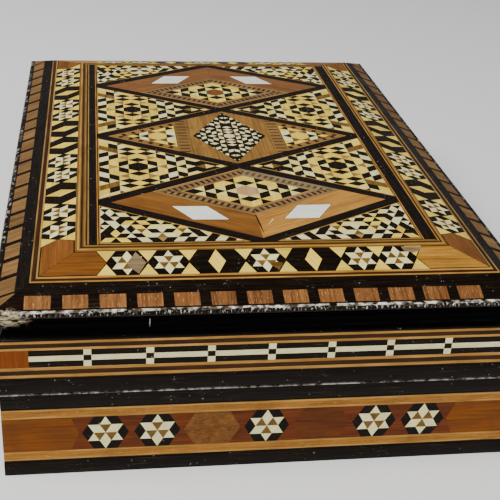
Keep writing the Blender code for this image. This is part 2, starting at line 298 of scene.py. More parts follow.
def rubbed(tree, own, height, patches, levels):
    """Where edges are rubbed, from 0 to 1, in strokes that are broken up by noise.

    Each level is the height of an edge, how far the wear reaches, its strength, the noise at which it starts,
    and the length and height of one stroke.
    """
    worn = None
    for level, reach, strength, start, long, tall in levels:
        scale = (1 / (long * MM), 1 / (long * MM), 1 / (tall * MM))
        drawn = add(tree, MAPPING, {"Vector": own, "Scale": scale})
        flake = add(tree, NOISE, {"Vector": drawn, "Scale": 1.0, "Detail": 3.0})
        offset = add(tree, MATHS, [height, level * MM], operation="SUBTRACT")
        distance = add(tree, MATHS, [offset], operation="ABSOLUTE")
        closeness = add(tree, RANGE, [distance, 0.0, reach * MM, 1.0, 0.0])
        near = add(tree, RANGE, [closeness, 0.0, 0.35])
        strokes = add(tree, RANGE, [flake, start, start + 0.08, 0.0, strength])
        uneven = add(tree, RANGE, [patches, 0.38, 0.55, 0.6, 1.0])
        mask = add(tree, MATHS, [near, strokes], operation="MULTIPLY")
        mask = add(tree, MATHS, [mask, uneven], operation="MULTIPLY")
        worn = mask if worn is None else add(tree, MATHS, [worn, mask], operation="MAXIMUM")
    return worn


def cut_mark(tree, across, depth, height, x, bottom, top):
    """A short upright cut in the front at x, from bottom to top, as a mask."""
    offset = add(tree, MATHS, [across, x * MM], operation="SUBTRACT")
    aside = add(tree, MATHS, [offset], operation="ABSOLUTE")
    thin = add(tree, RANGE, [aside, 0.05 * MM, 0.12 * MM, 1.0, 0.0])
    above = add(tree, RANGE, [height, (bottom - 0.4) * MM, (bottom + 0.4) * MM])
    below = add(tree, RANGE, [height, (top - 0.1) * MM, (top + 0.1) * MM, 1.0, 0.0])
    facing = add(tree, RANGE, [depth, (10 - BODY_Y) * MM, (20 - BODY_Y) * MM, 1.0, 0.0])
    upper = add(tree, MATHS, [thin, above], operation="MULTIPLY")
    lower = add(tree, MATHS, [below, facing], operation="MULTIPLY")
    return add(tree, MATHS, [upper, lower], operation="MULTIPLY")


def chipped(tree, own, fibres, place, reach):
    """A frayed oval round a place where the edge is chipped, as a mask."""
    offset = add(tree, "ShaderNodeVectorMath", [own, place], operation="SUBTRACT")
    oval = add(tree, MAPPING, {"Vector": offset, "Scale": (0.5, 0.5, 1.2)})
    away = add(tree, "ShaderNodeVectorMath", [oval], operation="LENGTH")
    frayed = add(tree, RANGE, [fibres, 0.3, 0.7, -0.9 * MM, 0.9 * MM])
    edge = add(tree, MATHS, [away, frayed], operation="ADD")
    return add(tree, RANGE, [edge, (reach - 0.2) * MM, (reach + 0.2) * MM, 1.0, 0.0])


def worn_black(name, levels=(), corner=None, nick=None):
    """Ebonised wood: almost black, faint brown fibres, pale specks and scratches, pale worn edges, and painted
    shade under the lip.

    levels are the edges that are rubbed, the corner is a place where the edge is chipped and how far, and the
    nick is a short pale cut down the front, by its X, lowest and highest place.
    """
    material, tree, shader = new_material(name)
    place = coordinates(tree)
    own = add(tree, "ShaderNodeTexCoord").outputs["Object"]
    across, depth, height = add(tree, "ShaderNodeSeparateXYZ", [own]).outputs
    fine = streaks(tree, place, 9.0, 0.35)
    colour = add(tree, MIX, [add(tree, RANGE, [fine, 0.45, 0.75]), "0B0603", "25170C"])
    patches = add(tree, NOISE, {"Vector": own, "Scale": 210.0, "Detail": 2.0})
    sparse = add(tree, RANGE, [patches, 0.48, 0.62])
    slanted = add(tree, MAPPING, {"Vector": place, "Rotation": (0.0, 0.0, 0.5)})
    slanting = add(tree, RANGE, [streaks(tree, slanted, 5.0, 0.10, 1.0), 0.70, 0.74])
    along = add(tree, RANGE, [streaks(tree, place, 14.0, 0.12, 1.0), 0.70, 0.74])
    scratches = add(tree, MATHS, [slanting, along], operation="MAXIMUM")
    scratches = add(tree, MATHS, [scratches, sparse], operation="MULTIPLY")
    scratches = add(tree, MATHS, [scratches, 0.35], operation="MULTIPLY")
    colour = add(tree, MIX, [scratches, colour, "8C7B66"])
    dots = add(tree, NOISE, {"Vector": own, "Scale": 1700.0, "Detail": 1.0})
    specks = add(tree, MATHS, [add(tree, RANGE, [dots, 0.70, 0.76]), sparse], operation="MULTIPLY")
    specks = add(tree, MATHS, [specks, 0.45], operation="MULTIPLY")
    colour = add(tree, MIX, [specks, colour, "B9B2A6"])
    # Painted shade: the hollow under the lip is painted near black, in place of the shade that the overhanging
    # lip casts.
    start, end = (add(tree, RANGE, [height, *edge]) for edge in PAINTED_COVE_SHADE)
    deep = add(tree, MATHS, [start, end], operation="MULTIPLY")
    colour = add(tree, MIX, [deep, colour, "020202"])
    upright = add(tree, MAPPING, {"Vector": own, "Scale": (0.6, 0.6, 1.0)})
    fibres = add(tree, NOISE, {"Vector": upright, "Scale": 1500.0, "Detail": 4.0})
    if levels:
        bare = add(tree, MIX, [add(tree, RANGE, [fibres, 0.42, 0.60]), "5C5040", "F6F1E4"])
        colour = add(tree, MIX, [rubbed(tree, own, height, patches, levels), colour, bare])
    if nick:
        colour = add(tree, MIX, [cut_mark(tree, across, depth, height, *nick), colour, "B5B0A6"])
    if corner:
        bare = add(tree, MIX, [add(tree, RANGE, [fibres, 0.40, 0.62]), "33291D", "D0C29C"])
        colour = add(tree, MIX, [chipped(tree, own, fibres, *corner), colour, bare])
    rough = add(tree, RANGE, [patches, 0.35, 0.65, 0.30, 0.46])
    # The painted shade also lowers the sheen in the hollow under the lip, so that it reads as shaded.
    gloss = add(tree, RANGE, [deep, 0.0, 1.0, 0.09, 0.02])
    bump = add(tree, "ShaderNodeBump", {"Strength": 0.3, "Distance": 0.04 * MM, "Height": fine})
    fill(shader, {"Base Color": colour, "Roughness": rough, "Specular IOR Level": gloss, "Normal": bump})
    return material


# The hollow under the lip is painted darker than the rest, as painted shade from the overhanging lip. It
# starts and ends between these heights.
PAINTED_COVE_SHADE = (
    ((LID_WALL[1] - 4.1) * MM, (LID_WALL[1] - 3.7) * MM, 0.0, 1.0),
    ((LID_WALL[1] + 0.2) * MM, (LID_WALL[1] + 0.6) * MM, 1.0, 0.0),
)

# Wear of the black wood. Each level is described in rubbed.
SEAM_WEAR = [(LID_WALL[0] - GAP, 0.13, 0.55, 0.26, 2.6, 1.0)]
LIP_WEAR = [(LIP_TOP - 0.09, 0.12, 1.0, 0.40, 3.0, 0.5), (LIP_TOP - 0.45, 0.42, 0.7, 0.52, 0.4, 1.6)]
EDGE_WEAR = [(LIP_TOP - 0.2, 0.3, 0.4, 0.50, 1.7, 0.7)]
CHIPPED_CORNER = (Vector((-LID_X + 1.8, -LID_Y, MOULDING_LOW.z - 0.3)) * MM, 2.5)
FRONT_NICK = (-22.4, LID_WALL[1] - 2.4, LID_WALL[1] - 0.3)

# Ebonised wood, stained through and polished: a deep brownish black with a low sheen, so that pale chips
# stand out.
BLACK = worn_black("ebonised_wood")
# On the walls it has a pale broken line where the lid rubs the body, one cut, and painted shade in the hollow
# under the lip.
BLACK_WALL = worn_black("ebonised_wood_walls", SEAM_WEAR, CHIPPED_CORNER, FRONT_NICK)
# On the front lip the stain is rubbed off, so bare wood shows as a pale line with short ticks below it.
BLACK_LIP = worn_black("ebonised_wood_lip", LIP_WEAR, CHIPPED_CORNER)
# On the other lips it is rubbed less, so the line is thinner and broken.
BLACK_EDGE = worn_black("ebonised_wood_edges", EDGE_WEAR)

# What the chips are made of. The order gives each its number in the meshes.
WOODS = {
    "black": BLACK,
    # Sawn and polished: cream, smooth, faintly streaked
    "bone": bone("camel_bone", "E8DC96", "FAF0BA"),
    # Planed: an even pale yellow with hardly any figure
    "lime": timber("limewood", "E0CC6C", "F5E792", 0.5, 2.5, 0.36, dirt=0.15),
    # Planed: a warmer yellow than lime
    "lemon": timber("lemonwood", "DEB83E", "F7DA66", 0.5, 3.0, 0.36, dirt=0.15),
    # Oiled: small mid-brown chips and lines that part the pale ones
    "walnut": timber("walnut", "5E4014", "82602A", 0.4, 1.6, 0.40),
    # Oiled: greenish brown with soft streaks
    "olive": timber("olivewood", "7E6332", "B08F51", 0.4, 1.8, 0.42),
    # Polished: deep red-brown, dark bands
    "rose": timber("rosewood", "4A1E04", "6E380A", 0.4, 2.2, 0.36),
    # Polished: a glowing dark orange brown at the ends of the star bands
    "apricot": timber("apricot_wood", "5C2E02", "824606", 0.5, 2.6, 0.36, tones=(0.92, 1.06)),
    # Polished and yellowed: light honey brown with long bands
    "honey": timber("maple", "8E5E1E", "C4903C", 0.5, 2.2, 0.38, tones=(0.94, 1.04)),
    # Polished: even reddish brown
    "plum": timber("plum_wood", "643A12", "885422", 0.4, 2.4, 0.36, tones=(0.92, 1.06)),
    # Sawn from a burl: short swirls in place of grain, and pale flecks
    "burl": timber(
        "walnut_burl", "603A10", "80501E", 0.7, 1.8, 0.42, tones=(0.96, 1.04), dirt=0.3, long=0.12, pale=0.2
    ),
    # Stained and worn: brown blocks whose fibres stand upright, with pale flecks
    "beech": timber("stained_beech", "5A3418", "926032", 0.45, 1.4, 0.46, tones=(0.8, 1.14), pale=0.38),
    # The same, greyer where the light has faded it
    "beech_faded": timber("faded_beech", "5C4224", "8C683C", 0.45, 1.4, 0.46, tones=(0.82, 1.12), pale=0.15),
    # Dashes whose stain is rubbed off: grey-brown, hardly darker than their ground
    "faded": timber("rubbed_string_wood", "443618", "625030", 0.4, 1.2, 0.44, tones=(0.92, 1.06)),
    # Thin light lines: golden brown
    "string": timber("string_wood", "8E6122", "C4944A", 0.4, 1.2, 0.40, tones=(0.92, 1.06)),
    # Thin dark lines and dashes: deep red-brown
    "string_dark": timber("dark_string_wood", "221204", "482408", 0.4, 1.2, 0.40, tones=(0.9, 1.05)),
    # Polished: the dark red ground of the star bands
    "russet": timber("russet_wood", "4C1E04", "6E340C", 0.4, 2.0, 0.38, tones=(0.92, 1.06)),
    # Open-pored and dirty: the grey-brown border of the lozenges
    "border": timber("ash", "665030", "927650", 0.4, 1.6, 0.44, dirt=0.35),
    # Polished: wide orange gold lines with pale flecks
    "amber": timber("amber_string_wood", "84521A", "AE742A", 0.4, 1.4, 0.40, tones=(0.94, 1.04), pale=0.3),
    # Worn: golden brown between the rungs of the end triangles
    "ladder": timber("ladder_wood", "74542A", "9A743E", 0.4, 1.6, 0.44, dirt=0.3),
    # Wax with sawdust, pressed in: dull and mottled beige
    "filler": timber("wax_and_sawdust_filler", "6E5A40", "A08A68", 0.6, 0.8, 0.6, dirt=0.5),
    # Polished: the cooler brown of the far chevron
    "cherry_panel": timber("cherry_panel_wood", "684020", "8A5C32", 0.45, 2.6, 0.34, tones=(0.96, 1.04)),
    # Polished: the light golden arm of the near chevron
    "walnut_panel": timber("walnut_panel_wood", "925F28", "C49044", 0.45, 2.6, 0.34, tones=(0.96, 1.04)),
    # Planed: a pinkish beige hexagon, even and without figure
    "pear": timber("pearwood", "A07E54", "C49E70", 0.5, 2.0, 0.38, dirt=0.15),
    # Dyed: the strong orange brown ends of the lid's line bands
    "orange": timber("orange_wood", "703203", "8C4404", 0.5, 2.4, 0.36, tones=(0.95, 1.05)),
    # The same wood as the light arm, darker because its grain runs away from the light
    "walnut_shade": timber("walnut_panel_shade", "663C12", "8E5E26", 0.45, 2.6, 0.34, tones=(0.98, 1.02)),
    # Polished: the even brown of the middle diamond
    "walnut_middle": timber("walnut_middle_wood", "6E4A20", "A07638", 0.45, 2.6, 0.34, tones=(0.98, 1.02)),
    # Ground and polished shell: white and glossy, with soft clouds
    "pearl": pearl_shell("mother_of_pearl"),
}
NUMBER = {wood: number for number, wood in enumerate(WOODS)}
LETTERS = {
    "k": "black",
    "w": "bone",
    "c": "lime",
    "y": "lemon",
    "b": "walnut",
    "t": "olive",
    "r": "rose",
    "p": "pear",
}

# Old glue with dirt in it: a dull dark brown in the joints and under the chips
GLUE, _, GLUE_SHADER = new_material("dark_glue")
fill(GLUE_SHADER, {"Base Color": "1B130D", "Roughness": 0.6})
NUMBER["glue"] = len(NUMBER)


# Flat shapes in a sheet's plane


def area(points):
    turns = (a[0] * b[1] - a[1] * b[0] for a, b in zip(points, points[1:] + points[:1]))
    return sum(turns) / 2


def cut(points, base, direction):
    """What lies to the left of a line through base of a convex shape."""
    kept = []
    side = [direction[0] * (p[1] - base[1]) - direction[1] * (p[0] - base[0]) for p in points]
    for i, here in enumerate(points):
        after = points[(i + 1) % len(points)]
        s, t = side[i], side[(i + 1) % len(points)]
        if s >= 0:
            kept.append(here)
        if s * t < 0:
            share = s / (s - t)
            kept.append((here[0] + (after[0] - here[0]) * share, here[1] + (after[1] - here[1]) * share))
    return kept


def clip(points, outline, distance=0.0):
    """The part of a shape inside a convex anticlockwise outline that is moved inward by a distance."""
    for a, b in zip(outline, outline[1:] + outline[:1]):
        length = math.hypot(b[0] - a[0], b[1] - a[1])
        if length < 1e-9:
            continue
        run = ((b[0] - a[0]) / length, (b[1] - a[1]) / length)
        points = cut(points, (a[0] - run[1] * distance, a[1] + run[0] * distance), run)
        if len(points) < 3:
            return []
    return points


def shrink(points, distance):
    return clip(points, points, distance)


def rectangle(x0, x1, y0, y1):
    return [(x0, y0), (x1, y0), (x1, y1), (x0, y1)]


def chip(points, wood, lift=0.0, grain=None):
    """One chip. Its grain runs along its longest edge unless an angle in radians is given."""
    points = [tuple(p) for p in points]
    if area(points) < 0:
        points.reverse()
    if grain is None:
        edges = [(math.dist(a, b), math.atan2(b[1] - a[1], b[0] - a[0])) for a, b in zip(points, points[1:])]
        grain = max(edges)[1]
    return {"points": points, "wood": wood, "lift": lift, "grain": grain}


def moved(chips, flip_x=1, flip_y=1, by=(0.0, 0.0)):
    """The chips mirrored by the signs and then moved."""
    result = []
    for item in chips:
        points = [(flip_x * x + by[0], flip_y * y + by[1]) for x, y in item["points"]]
        result.append(chip(points, item["wood"], item["lift"], item["grain"] * flip_x * flip_y))
    return result


def trimmed(chips, outline, distance=0.0):
    """The chips cut to a convex outline, without slivers."""
    result = []
    for item in chips:
        points = clip(item["points"], outline, distance)
        if len(points) > 2 and abs(area(points)) > SLIVER:
            result.append(chip(points, item["wood"], item["lift"], item["grain"]))
    return result


def offset_corners(outline, distance):
    """The corners of an anticlockwise outline with every edge moved inward."""
    corners = []
    for i, here in enumerate(outline):
        a = Vector(here) - Vector(outline[i - 1])
        b = Vector(outline[(i + 1) % len(outline)]) - Vector(here)
        a.normalize()
        b.normalize()
        reach = distance / (1 + a.dot(b))
        corners.append((here[0] + (-a.y - b.y) * reach, here[1] + (a.x + b.x) * reach))
    return corners


# Patterns


def lattice(columns, first, side, lying=False):
    """Chips of a field on a lattice of equal triangles.

    A column lists its pieces from the middle outward, one letter for each triangle and one word for each
    piece, and is the same on both sides of the middle. Where a column is a pair, its halves differ. Pieces
    in capitals join a like piece that they touch in the next column. Columns stand side by side along X, or
    lie above each other along Y.
    """
    cells = {}
    for column, words in enumerate(columns, start=first):
        halves = words if isinstance(words, tuple) else (words, words)
        for sign, half in zip((-1, 1), halves):
            step = 0
            for number, word in enumerate(half.split()):
                for letter in word:
                    label = (column, 0 if number == 0 else sign, number)
                    cells[column, sign * step] = (letter, label)
                    step += 1
    groups = {}
    for cell, (_, label) in cells.items():
        groups.setdefault(label, []).append(cell)
    owner = {cell: label for cell, (_, label) in cells.items()}
    for (column, step), (letter, _) in sorted(cells.items(), key=lambda item: item[0]):
        beside = (column + 1, step)
        joins = letter.isupper() and (column + step) % 2 == 0 and beside in cells
        if joins and cells[beside][0] == letter and owner[beside] != owner[column, step]:
            taken = groups.pop(owner[beside])
            groups[owner[column, step]].extend(taken)
            for cell in taken:
                owner[cell] = owner[column, step]
    width = side * ROOT3 / 2
    chips = []
    for members in groups.values():
        wood = LETTERS[cells[members[0]][0].lower()]
        points = [(i * width, j * side / 2) for i, j in joined(members)]
        if lying:
            points = [(y, x) for x, y in points]
        chips.append(chip(points, wood, grain=0.0 if lying else math.pi / 2))
    return chips


def joined(members):
    """The outline round some triangles of the lattice, as (line, half step)."""
    edges = set()
    for column, step in members:
        if (column + step) % 2 == 0:
            corners = [(column, step), (column + 1, step - 1), (column + 1, step + 1)]
        else:
            corners = [(column + 1, step), (column, step + 1), (column, step - 1)]
        for a, b in zip(corners, corners[1:] + corners[:1]):
            if (b, a) in edges:
                edges.remove((b, a))
            else:
                edges.add((a, b))
    follow = dict(edges)
    here = min(follow)
    outline = []
    while here in follow:
        outline.append(here)
        here = follow.pop(here)
    return outline


def star(centre, side, first_angle, grounds=True):
    """A six-pointed star in a hexagon with a flat top: three of its points reach the middle.

    The other three have a small brown triangle next to the middle. first_angle is one of the full points,
    and grounds adds the black kites between the points.
    """
    unit = side / 2
    reach = unit * ROOT3

    def at(distance, degrees):
        angle = math.radians(degrees)
        return (centre[0] + distance * math.cos(angle), centre[1] + distance * math.sin(angle))

    chips = []
    for vertex in range(0, 360, 60):
        if grounds:
            kite = [at(unit, vertex), at(reach, vertex - 30), at(side, vertex), at(reach, vertex + 30)]
            chips.append(chip(kite, "black"))
        tip = vertex + 30
        left, right = at(unit, tip + 30), at(unit, tip - 30)
        if (tip - first_angle) % 120 == 0:
            chips.append(chip([centre, right, at(reach, tip), left], "bone", grain=math.radians(tip)))
        else:
            chips.append(chip([right, at(reach, tip), left], "bone", grain=math.radians(tip)))
            chips.append(chip([centre, right, left], "walnut", grain=math.radians(tip)))
    return chips


def long_hexagon(x0, x1, middle, side, wood, heart=None):
    """A hexagon drawn out along X, with a rhombus in it where heart is given."""
    rise = side * ROOT3 / 2
    run = side / 2
    outline = [
        (x0, middle),
        (x0 + run, middle - rise),
        (x1 - run, middle - rise),
        (x1, middle),
        (x1 - run, middle + rise),
        (x0 + run, middle + rise),
    ]
    chips = [chip(outline, wood, grain=0.0)]
    if heart:
        x = (x0 + x1) / 2
        half = rise / ROOT3 * HEART_WIDTH
        rhombus = [(x, middle - rise), (x + half, middle), (x, middle + rise), (x - half, middle)]
        chips.append(chip(rhombus, heart, OVERLAY))
    return chips


def stretched(chips, middle, share):
    """The chips drawn out from the middle line of their band."""
    for item in chips:
        item["points"] = [(x, middle + (y - middle) * share) for x, y in item["points"]]
    return chips


def mirrored(units):
    """The stars and long hexagons of a band the other way round."""
    result = []
    for kind, x, *rest in units:
        if kind == "star":
            result.append((kind, -x, *rest))
        else:
            result.append((kind, -rest[0], -x, *rest[1:]))
    return result


# Left side field at the front: from the black stripe to the point at the middle of the panel
SIDE_FIELD = [
    "c kk ww kk c bb yy cc kk",
    "t yyy kk c bb kk cc kk",
    "c kk y t y K c K cc kk cc",
    "KK y K yy K Y K YY k Y k",
    "KK y K yy K Y K YY k Y k",
    "c kk y t y K c K cc kk",
    "t yyy kk c kk cc kk",
    "c kk ww kk cc kk",
    "k cc kk cc kk",
    "c kk cc kk",
    "b kk cc kk",
    "C kk k",
    "C kk",
    "k kk",
]
LOZENGE = [
    "K c",
    "K cc",
    "c kk c",
    "k c YY",
    "c kk Y k",
    "PP c K yy y",
    "PP c K yy y",
    "c kk Y k",
    "k c YY",
    "c kk c",
    "K cc",
    "K c",
]
END_TRIANGLE = [
    "t t t",
    "Y t t",
    "Y k c t",
    "k ww y t",
    "YY b yy k y",
    "YY b yy k y",
    "k ww y k y",
]
MIDDLE_RHOMBUS = [
    "WW k W b W K W kk k ww kk w kk w",
    "b ww k ww K ww k ww kk ww k w",
    "W k ww kk W kk ww k ww kk",
    "W kk ww k W kk ww kk w",
    "k ww kk ww k ww k",
    "w kk ww k ww k",
    "W k ww kk w",
    "W kk w kk",
    "k ww k",
    "W kk",
]
CORNER_FIELD = [
    ("t kk ww kk yy k yy kk", "t kk ww kk ww kk ww kk ww k"),
    ("b ww C kk w kk Y kk kkk", "b ww C kk w kk c kk c kk"),
    ("W kk C b w K w k Y k k w k", "W kk C b w kk ww kk"),
    ("W cc K yy K W k w k w k", "W cc K yy kk c kk"),
    ("c kk yy k yy k ww k w k w", "c kk y kk cc"),
    ("k cc kk c kk k w kk w k w", "k cc kk y"),
    ("c kk cc kk c w k w k w k", "c kk c"),
    ("k cc kk cc kk k w k w k", "k cc"),
    ("c kk cc kk cc w k w k", "c kk"),
]


# Planes of the box


def plane(side, out, height, rise=0.0):
    """A sheet on one side of the box: X runs along the side, Y goes up or inward, and Z points out of the box.

    rise is how far the sheet climbs for each unit inward. None stands for an upright sheet.
    """
    up = Vector((0, 0, 1)) if rise is None else Vector((0, 1, rise)).normalized()
    along = Vector((1, 0, 0))
    matrix = Matrix((along, up, along.cross(up))).transposed().to_4x4()
    matrix.translation = (0.0, -out, height)
    return turn(side) @ matrix


FLAT = Matrix.Translation((0, 0, PANEL_TOP))


def top_outline(*names):
    """The outline round the upper faces of some flat nodes, anticlockwise, moved out to fill half a joint."""
    points = []
    for name in names:
        vertices = [v.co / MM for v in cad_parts[name].data.vertices]
        top = max(p.z for p in vertices)
        points += [Vector((p.x, p.y)) for p in vertices if p.z > top - 0.01]
    points = sorted({(round(p.x, 2), round(p.y, 2)) for p in points})
    hull = []
    for row in (points, points[::-1]):
        half = []
        for point in row:
            while len(half) > 1 and area([half[-2], half[-1], point]) <= 0.01 * math.dist(half[-2], point):
                half.pop()
            half.append(point)
        hull += half[:-1]
    return offset_corners(hull, -GROWTH)


# Geometry Nodes trees


def new_tree(name, inputs):
    tree = bpy.data.node_groups.new(name, "GeometryNodeTree")
    tree.interface.new_socket("Geometry", in_out="INPUT", socket_type="NodeSocketGeometry")
    for label, kind in inputs:
        tree.interface.new_socket(label, in_out="INPUT", socket_type=f"NodeSocket{kind}")
    tree.interface.new_socket("Geometry", in_out="OUTPUT", socket_type="NodeSocketGeometry")
    return tree, add(tree, "NodeGroupInput").outputs


def chip_tree():
    """Raises every chip from its own face to its own height, closes it and gives it its wood."""
    tree, start = new_tree("chips", [("Height", "Float"), ("Join distance", "Float")])
    flat = start["Geometry"]
    rise = add(tree, "GeometryNodeInputNamedAttribute", ["rise"], data_type="FLOAT")
    height = add(tree, MATHS, [rise, start["Height"]], operation="MULTIPLY")
    raised = add(tree, "GeometryNodeExtrudeMesh", {"Mesh": flat, "Offset Scale": height}, mode="FACES")
    both = add(tree, "GeometryNodeJoinGeometry", [raised])
    fill(both, [add(tree, "GeometryNodeFlipFaces", [flat])])
    closed = add(tree, "GeometryNodeMergeByDistance", {"Geometry": both, "Distance": start["Join distance"]})
    result = add(tree, "GeometryNodeRealizeInstances", [closed])
    wood = add(tree, "GeometryNodeInputNamedAttribute", ["wood"], data_type="INT")
    for name, number in NUMBER.items():
        is_wood = add(tree, "FunctionNodeCompare", [wood, number], data_type="INT", operation="EQUAL")
        result = add(tree, "GeometryNodeSetMaterial", [result, is_wood, WOODS.get(name, GLUE)])
    add(tree, "NodeGroupOutput", [result])
    return tree


def block_tree():
    """A row of small blocks along X. Each has its own tone, and is a little smaller or turned."""
    sizes = [("Count", "Int"), ("Pitch", "Float"), ("Block", "Vector"), ("Seed", "Int"), ("Wood", "Material")]
    tree, start = new_tree("blocks", sizes)
    step = add(tree, "ShaderNodeCombineXYZ", [start["Pitch"]])
    line = add(tree, "GeometryNodeMeshLine", {"Count": start["Count"], "Offset": step})
    block = add(tree, "GeometryNodeMeshCube", [start["Block"]])
    chances = (
        ((0.94, 0.95, 1.0), (1.0, 1.0, 1.0), "FLOAT_VECTOR"),
        ((0.0, 0.0, -0.02), (0.0, 0.0, 0.02), "FLOAT_VECTOR"),
        (0.0, 1.0, "FLOAT"),
    )
    size, askew, tone = (
        add(tree, "FunctionNodeRandomValue", {"Min": low, "Max": high, "Seed": start["Seed"]}, data_type=kind)
        for low, high, kind in chances
    )
    placed = {"Points": line, "Instance": block, "Scale": size, "Rotation": askew}
    row = add(tree, "GeometryNodeInstanceOnPoints", placed)
    values = {"Geometry": row, "Name": "tone", "Value": tone}
    toned_row = add(tree, "GeometryNodeStoreNamedAttribute", values, data_type="FLOAT", domain="INSTANCE")
    real = add(tree, "GeometryNodeRealizeInstances", [toned_row])
    own = add(tree, "GeometryNodeInputNamedAttribute", ["tone"], data_type="FLOAT")
    apart = add(tree, "ShaderNodeCombineXYZ", [own, own])
    board = add(tree, "ShaderNodeVectorMath", [apart, (90.0, 60.0, 0.0)], operation="MULTIPLY")
    x, y, _ = add(tree, "ShaderNodeSeparateXYZ", [add(tree, "GeometryNodeInputPosition")]).outputs
    turned = add(tree, "ShaderNodeCombineXYZ", [y, x])
    flat = add(tree, "ShaderNodeVectorMath", [turned, (1 / MM, 1 / MM, 1.0)], operation="MULTIPLY")
    values = {"Geometry": real, "Name": "grain", "Value": add(tree, "ShaderNodeVectorMath", [board, flat])}
    mapped = add(tree, "GeometryNodeStoreNamedAttribute", values, data_type="FLOAT2", domain="CORNER")
    dressed = add(tree, "GeometryNodeSetMaterial", {"Geometry": mapped, "Material": start["Wood"]})
    add(tree, "NodeGroupOutput", [dressed])
    return tree


def plain(name, source, tree, values):
    """The mesh that a tree makes from a source mesh, with its named inputs set."""
    holder = bpy.data.objects.new(f"{name}_start", source)
    bpy.context.scene.collection.objects.link(holder)
    modifier = holder.modifiers.new("rule", "NODES")
    modifier.node_group = tree
    for item in tree.interface.items_tree:
        if item.in_out == "INPUT" and item.name in values:
            modifier[item.identifier] = values[item.name]
    graph = bpy.context.evaluated_depsgraph_get()
    made = holder.evaluated_get(graph)
    mesh = bpy.data.meshes.new_from_object(made, preserve_all_data_layers=True, depsgraph=graph)
    bpy.data.objects.remove(holder)
    return mesh


def settle(name, mesh, nodes=()):
    """The finished piece: it rides on the box and stands for its nodes."""
    mesh.name = name
    piece = bpy.data.objects.new(name, mesh)
    bpy.context.scene.collection.objects.link(piece)
    if nodes:
        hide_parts(*nodes)
    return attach(piece, "root")


CHIPS = chip_tree()
BLOCKS = block_tree()


def lay(name, sheets, nodes):
    """One piece of marquetry. Each sheet is its plane, its chips and the outlines of the glue under them."""
    luck = random.Random(name)
    source = bmesh.new()
    grain_map = source.loops.layers.uv.new("grain")
    wood_layer = source.faces.layers.int.new("wood")
    rise_layer = source.faces.layers.float.new("rise")
    tone_layer = source.faces.layers.float.new("tone")
    for matrix, chips, grounds in sheets:
        glue = [chip(outline, "glue", 0.0, 0.0) for outline in grounds]
        for item in glue + chips:
            is_glue = item["wood"] == "glue"
            points = item["points"] if is_glue else shrink(item["points"], JOINT / 2)
            if len(points) < 3 or abs(area(points)) < SPECK:
                continue
            depth = VENEER if is_glue else GROUND_DROP + CHIP_ROOT
            corners = [source.verts.new(matrix @ Vector((x, y, -depth))) for x, y in points]
            face = source.faces.new(corners)
            face[wood_layer] = NUMBER[item["wood"]]
            face[tone_layer] = luck.random()
            top = -GROUND_DROP if is_glue else item["lift"] - TOP_DROP - luck.random() * UNEVEN
            face[rise_layer] = depth + top
            cosine, sine = math.cos(item["grain"]), math.sin(item["grain"])
            shift = (luck.uniform(0, BOARD), luck.uniform(0, BOARD))
            for loop, (x, y) in zip(face.loops, points):
                loop[grain_map].uv = (x * cosine + y * sine + shift[0], y * cosine - x * sine + shift[1])
    mesh = bpy.data.meshes.new(f"{name}_flat")
    source.to_mesh(mesh)
    source.free()
    mesh.transform(Matrix.Scale(MM, 4))
    return settle(name, plain(name, mesh, CHIPS, {"Height": MM, "Join distance": 0.001 * MM}), nodes)


def strip(name, profile, side, x, y, material, nodes, smooth=35):
    """A length with a profile of (inward, height) points, mitred to its neighbours."""
    solid = bmesh.new()
    grain_map = solid.loops.layers.uv.new("grain")
    along, out = half_along(side, x, y), half_out(side, x, y)
    matrix = turn(side)
    rows = []
    for end in (-1, 1):
        row = []
        for inward, height in profile:
            reach = along - inward - JOINT / 2
            row.append(solid.verts.new(matrix @ Vector((end * reach, inward - out, height))))
        rows.append(row)
    count = len(profile)
    travelled = 0.0
    for i in range(count):
        j = (i + 1) % count
        face = solid.faces.new((rows[0][i], rows[0][j], rows[1][j], rows[1][i]))
        length = math.dist(profile[i], profile[j])
        end = travelled + length
        places = [(-along, travelled), (-along, end), (along, end), (along, travelled)]
        for loop, place in zip(face.loops, places):
            loop[grain_map].uv = place
        travelled += length
    for row in (rows[0], rows[1][::-1]):
        face = solid.faces.new(row)
        for loop in face.loops:
            loop[grain_map].uv = (loop.vert.co.x + loop.vert.co.y, loop.vert.co.z)
    bmesh.ops.recalc_face_normals(solid, faces=solid.faces)
    mesh = bpy.data.meshes.new(name)
    solid.to_mesh(mesh)
    solid.free()
    mesh.transform(Matrix.Scale(MM, 4))
    mesh.materials.append(material)
    for polygon in mesh.polygons:
        polygon.use_smooth = True
    mesh.set_sharp_from_angle(angle=math.radians(smooth))
    return settle(name, mesh, nodes)


def eased(profile, corners, size=0.12):
    """The profile with some of its sharp corners cut twice, so that they catch the light as worn edges do."""
    result = []
    for i, here in enumerate(profile):
        if i not in corners:
            result.append(here)
            continue
        before, after = Vector(profile[i - 1]), Vector(profile[(i + 1) % len(profile)])
        point = Vector(here)
        first = point + (before - point).normalized() * size
        last = point + (after - point).normalized() * size
        middle = (first + last).lerp(2 * point, ROUNDING) / 2
        result += [tuple(first), tuple(middle), tuple(last)]
    return result


# Walls


def hollow_arc(bottom, steps=16):
    """The hollow under the lip: an arc of a circle, as (inward, height) points from the bottom up."""
    half = COVE_HEIGHT / 2
    radius = (half * half + COVE_DEPTH * COVE_DEPTH) / (2 * COVE_DEPTH)
    reach = math.asin(half / radius)
    points = []
    for step in range(steps + 1):
        angle = reach * (2 * step / steps - 1)
        inward = max(COVE_DEPTH - radius * (1 - math.cos(angle)), 0.0)
        points.append((inward, bottom + half + radius * math.sin(angle)))
    return points


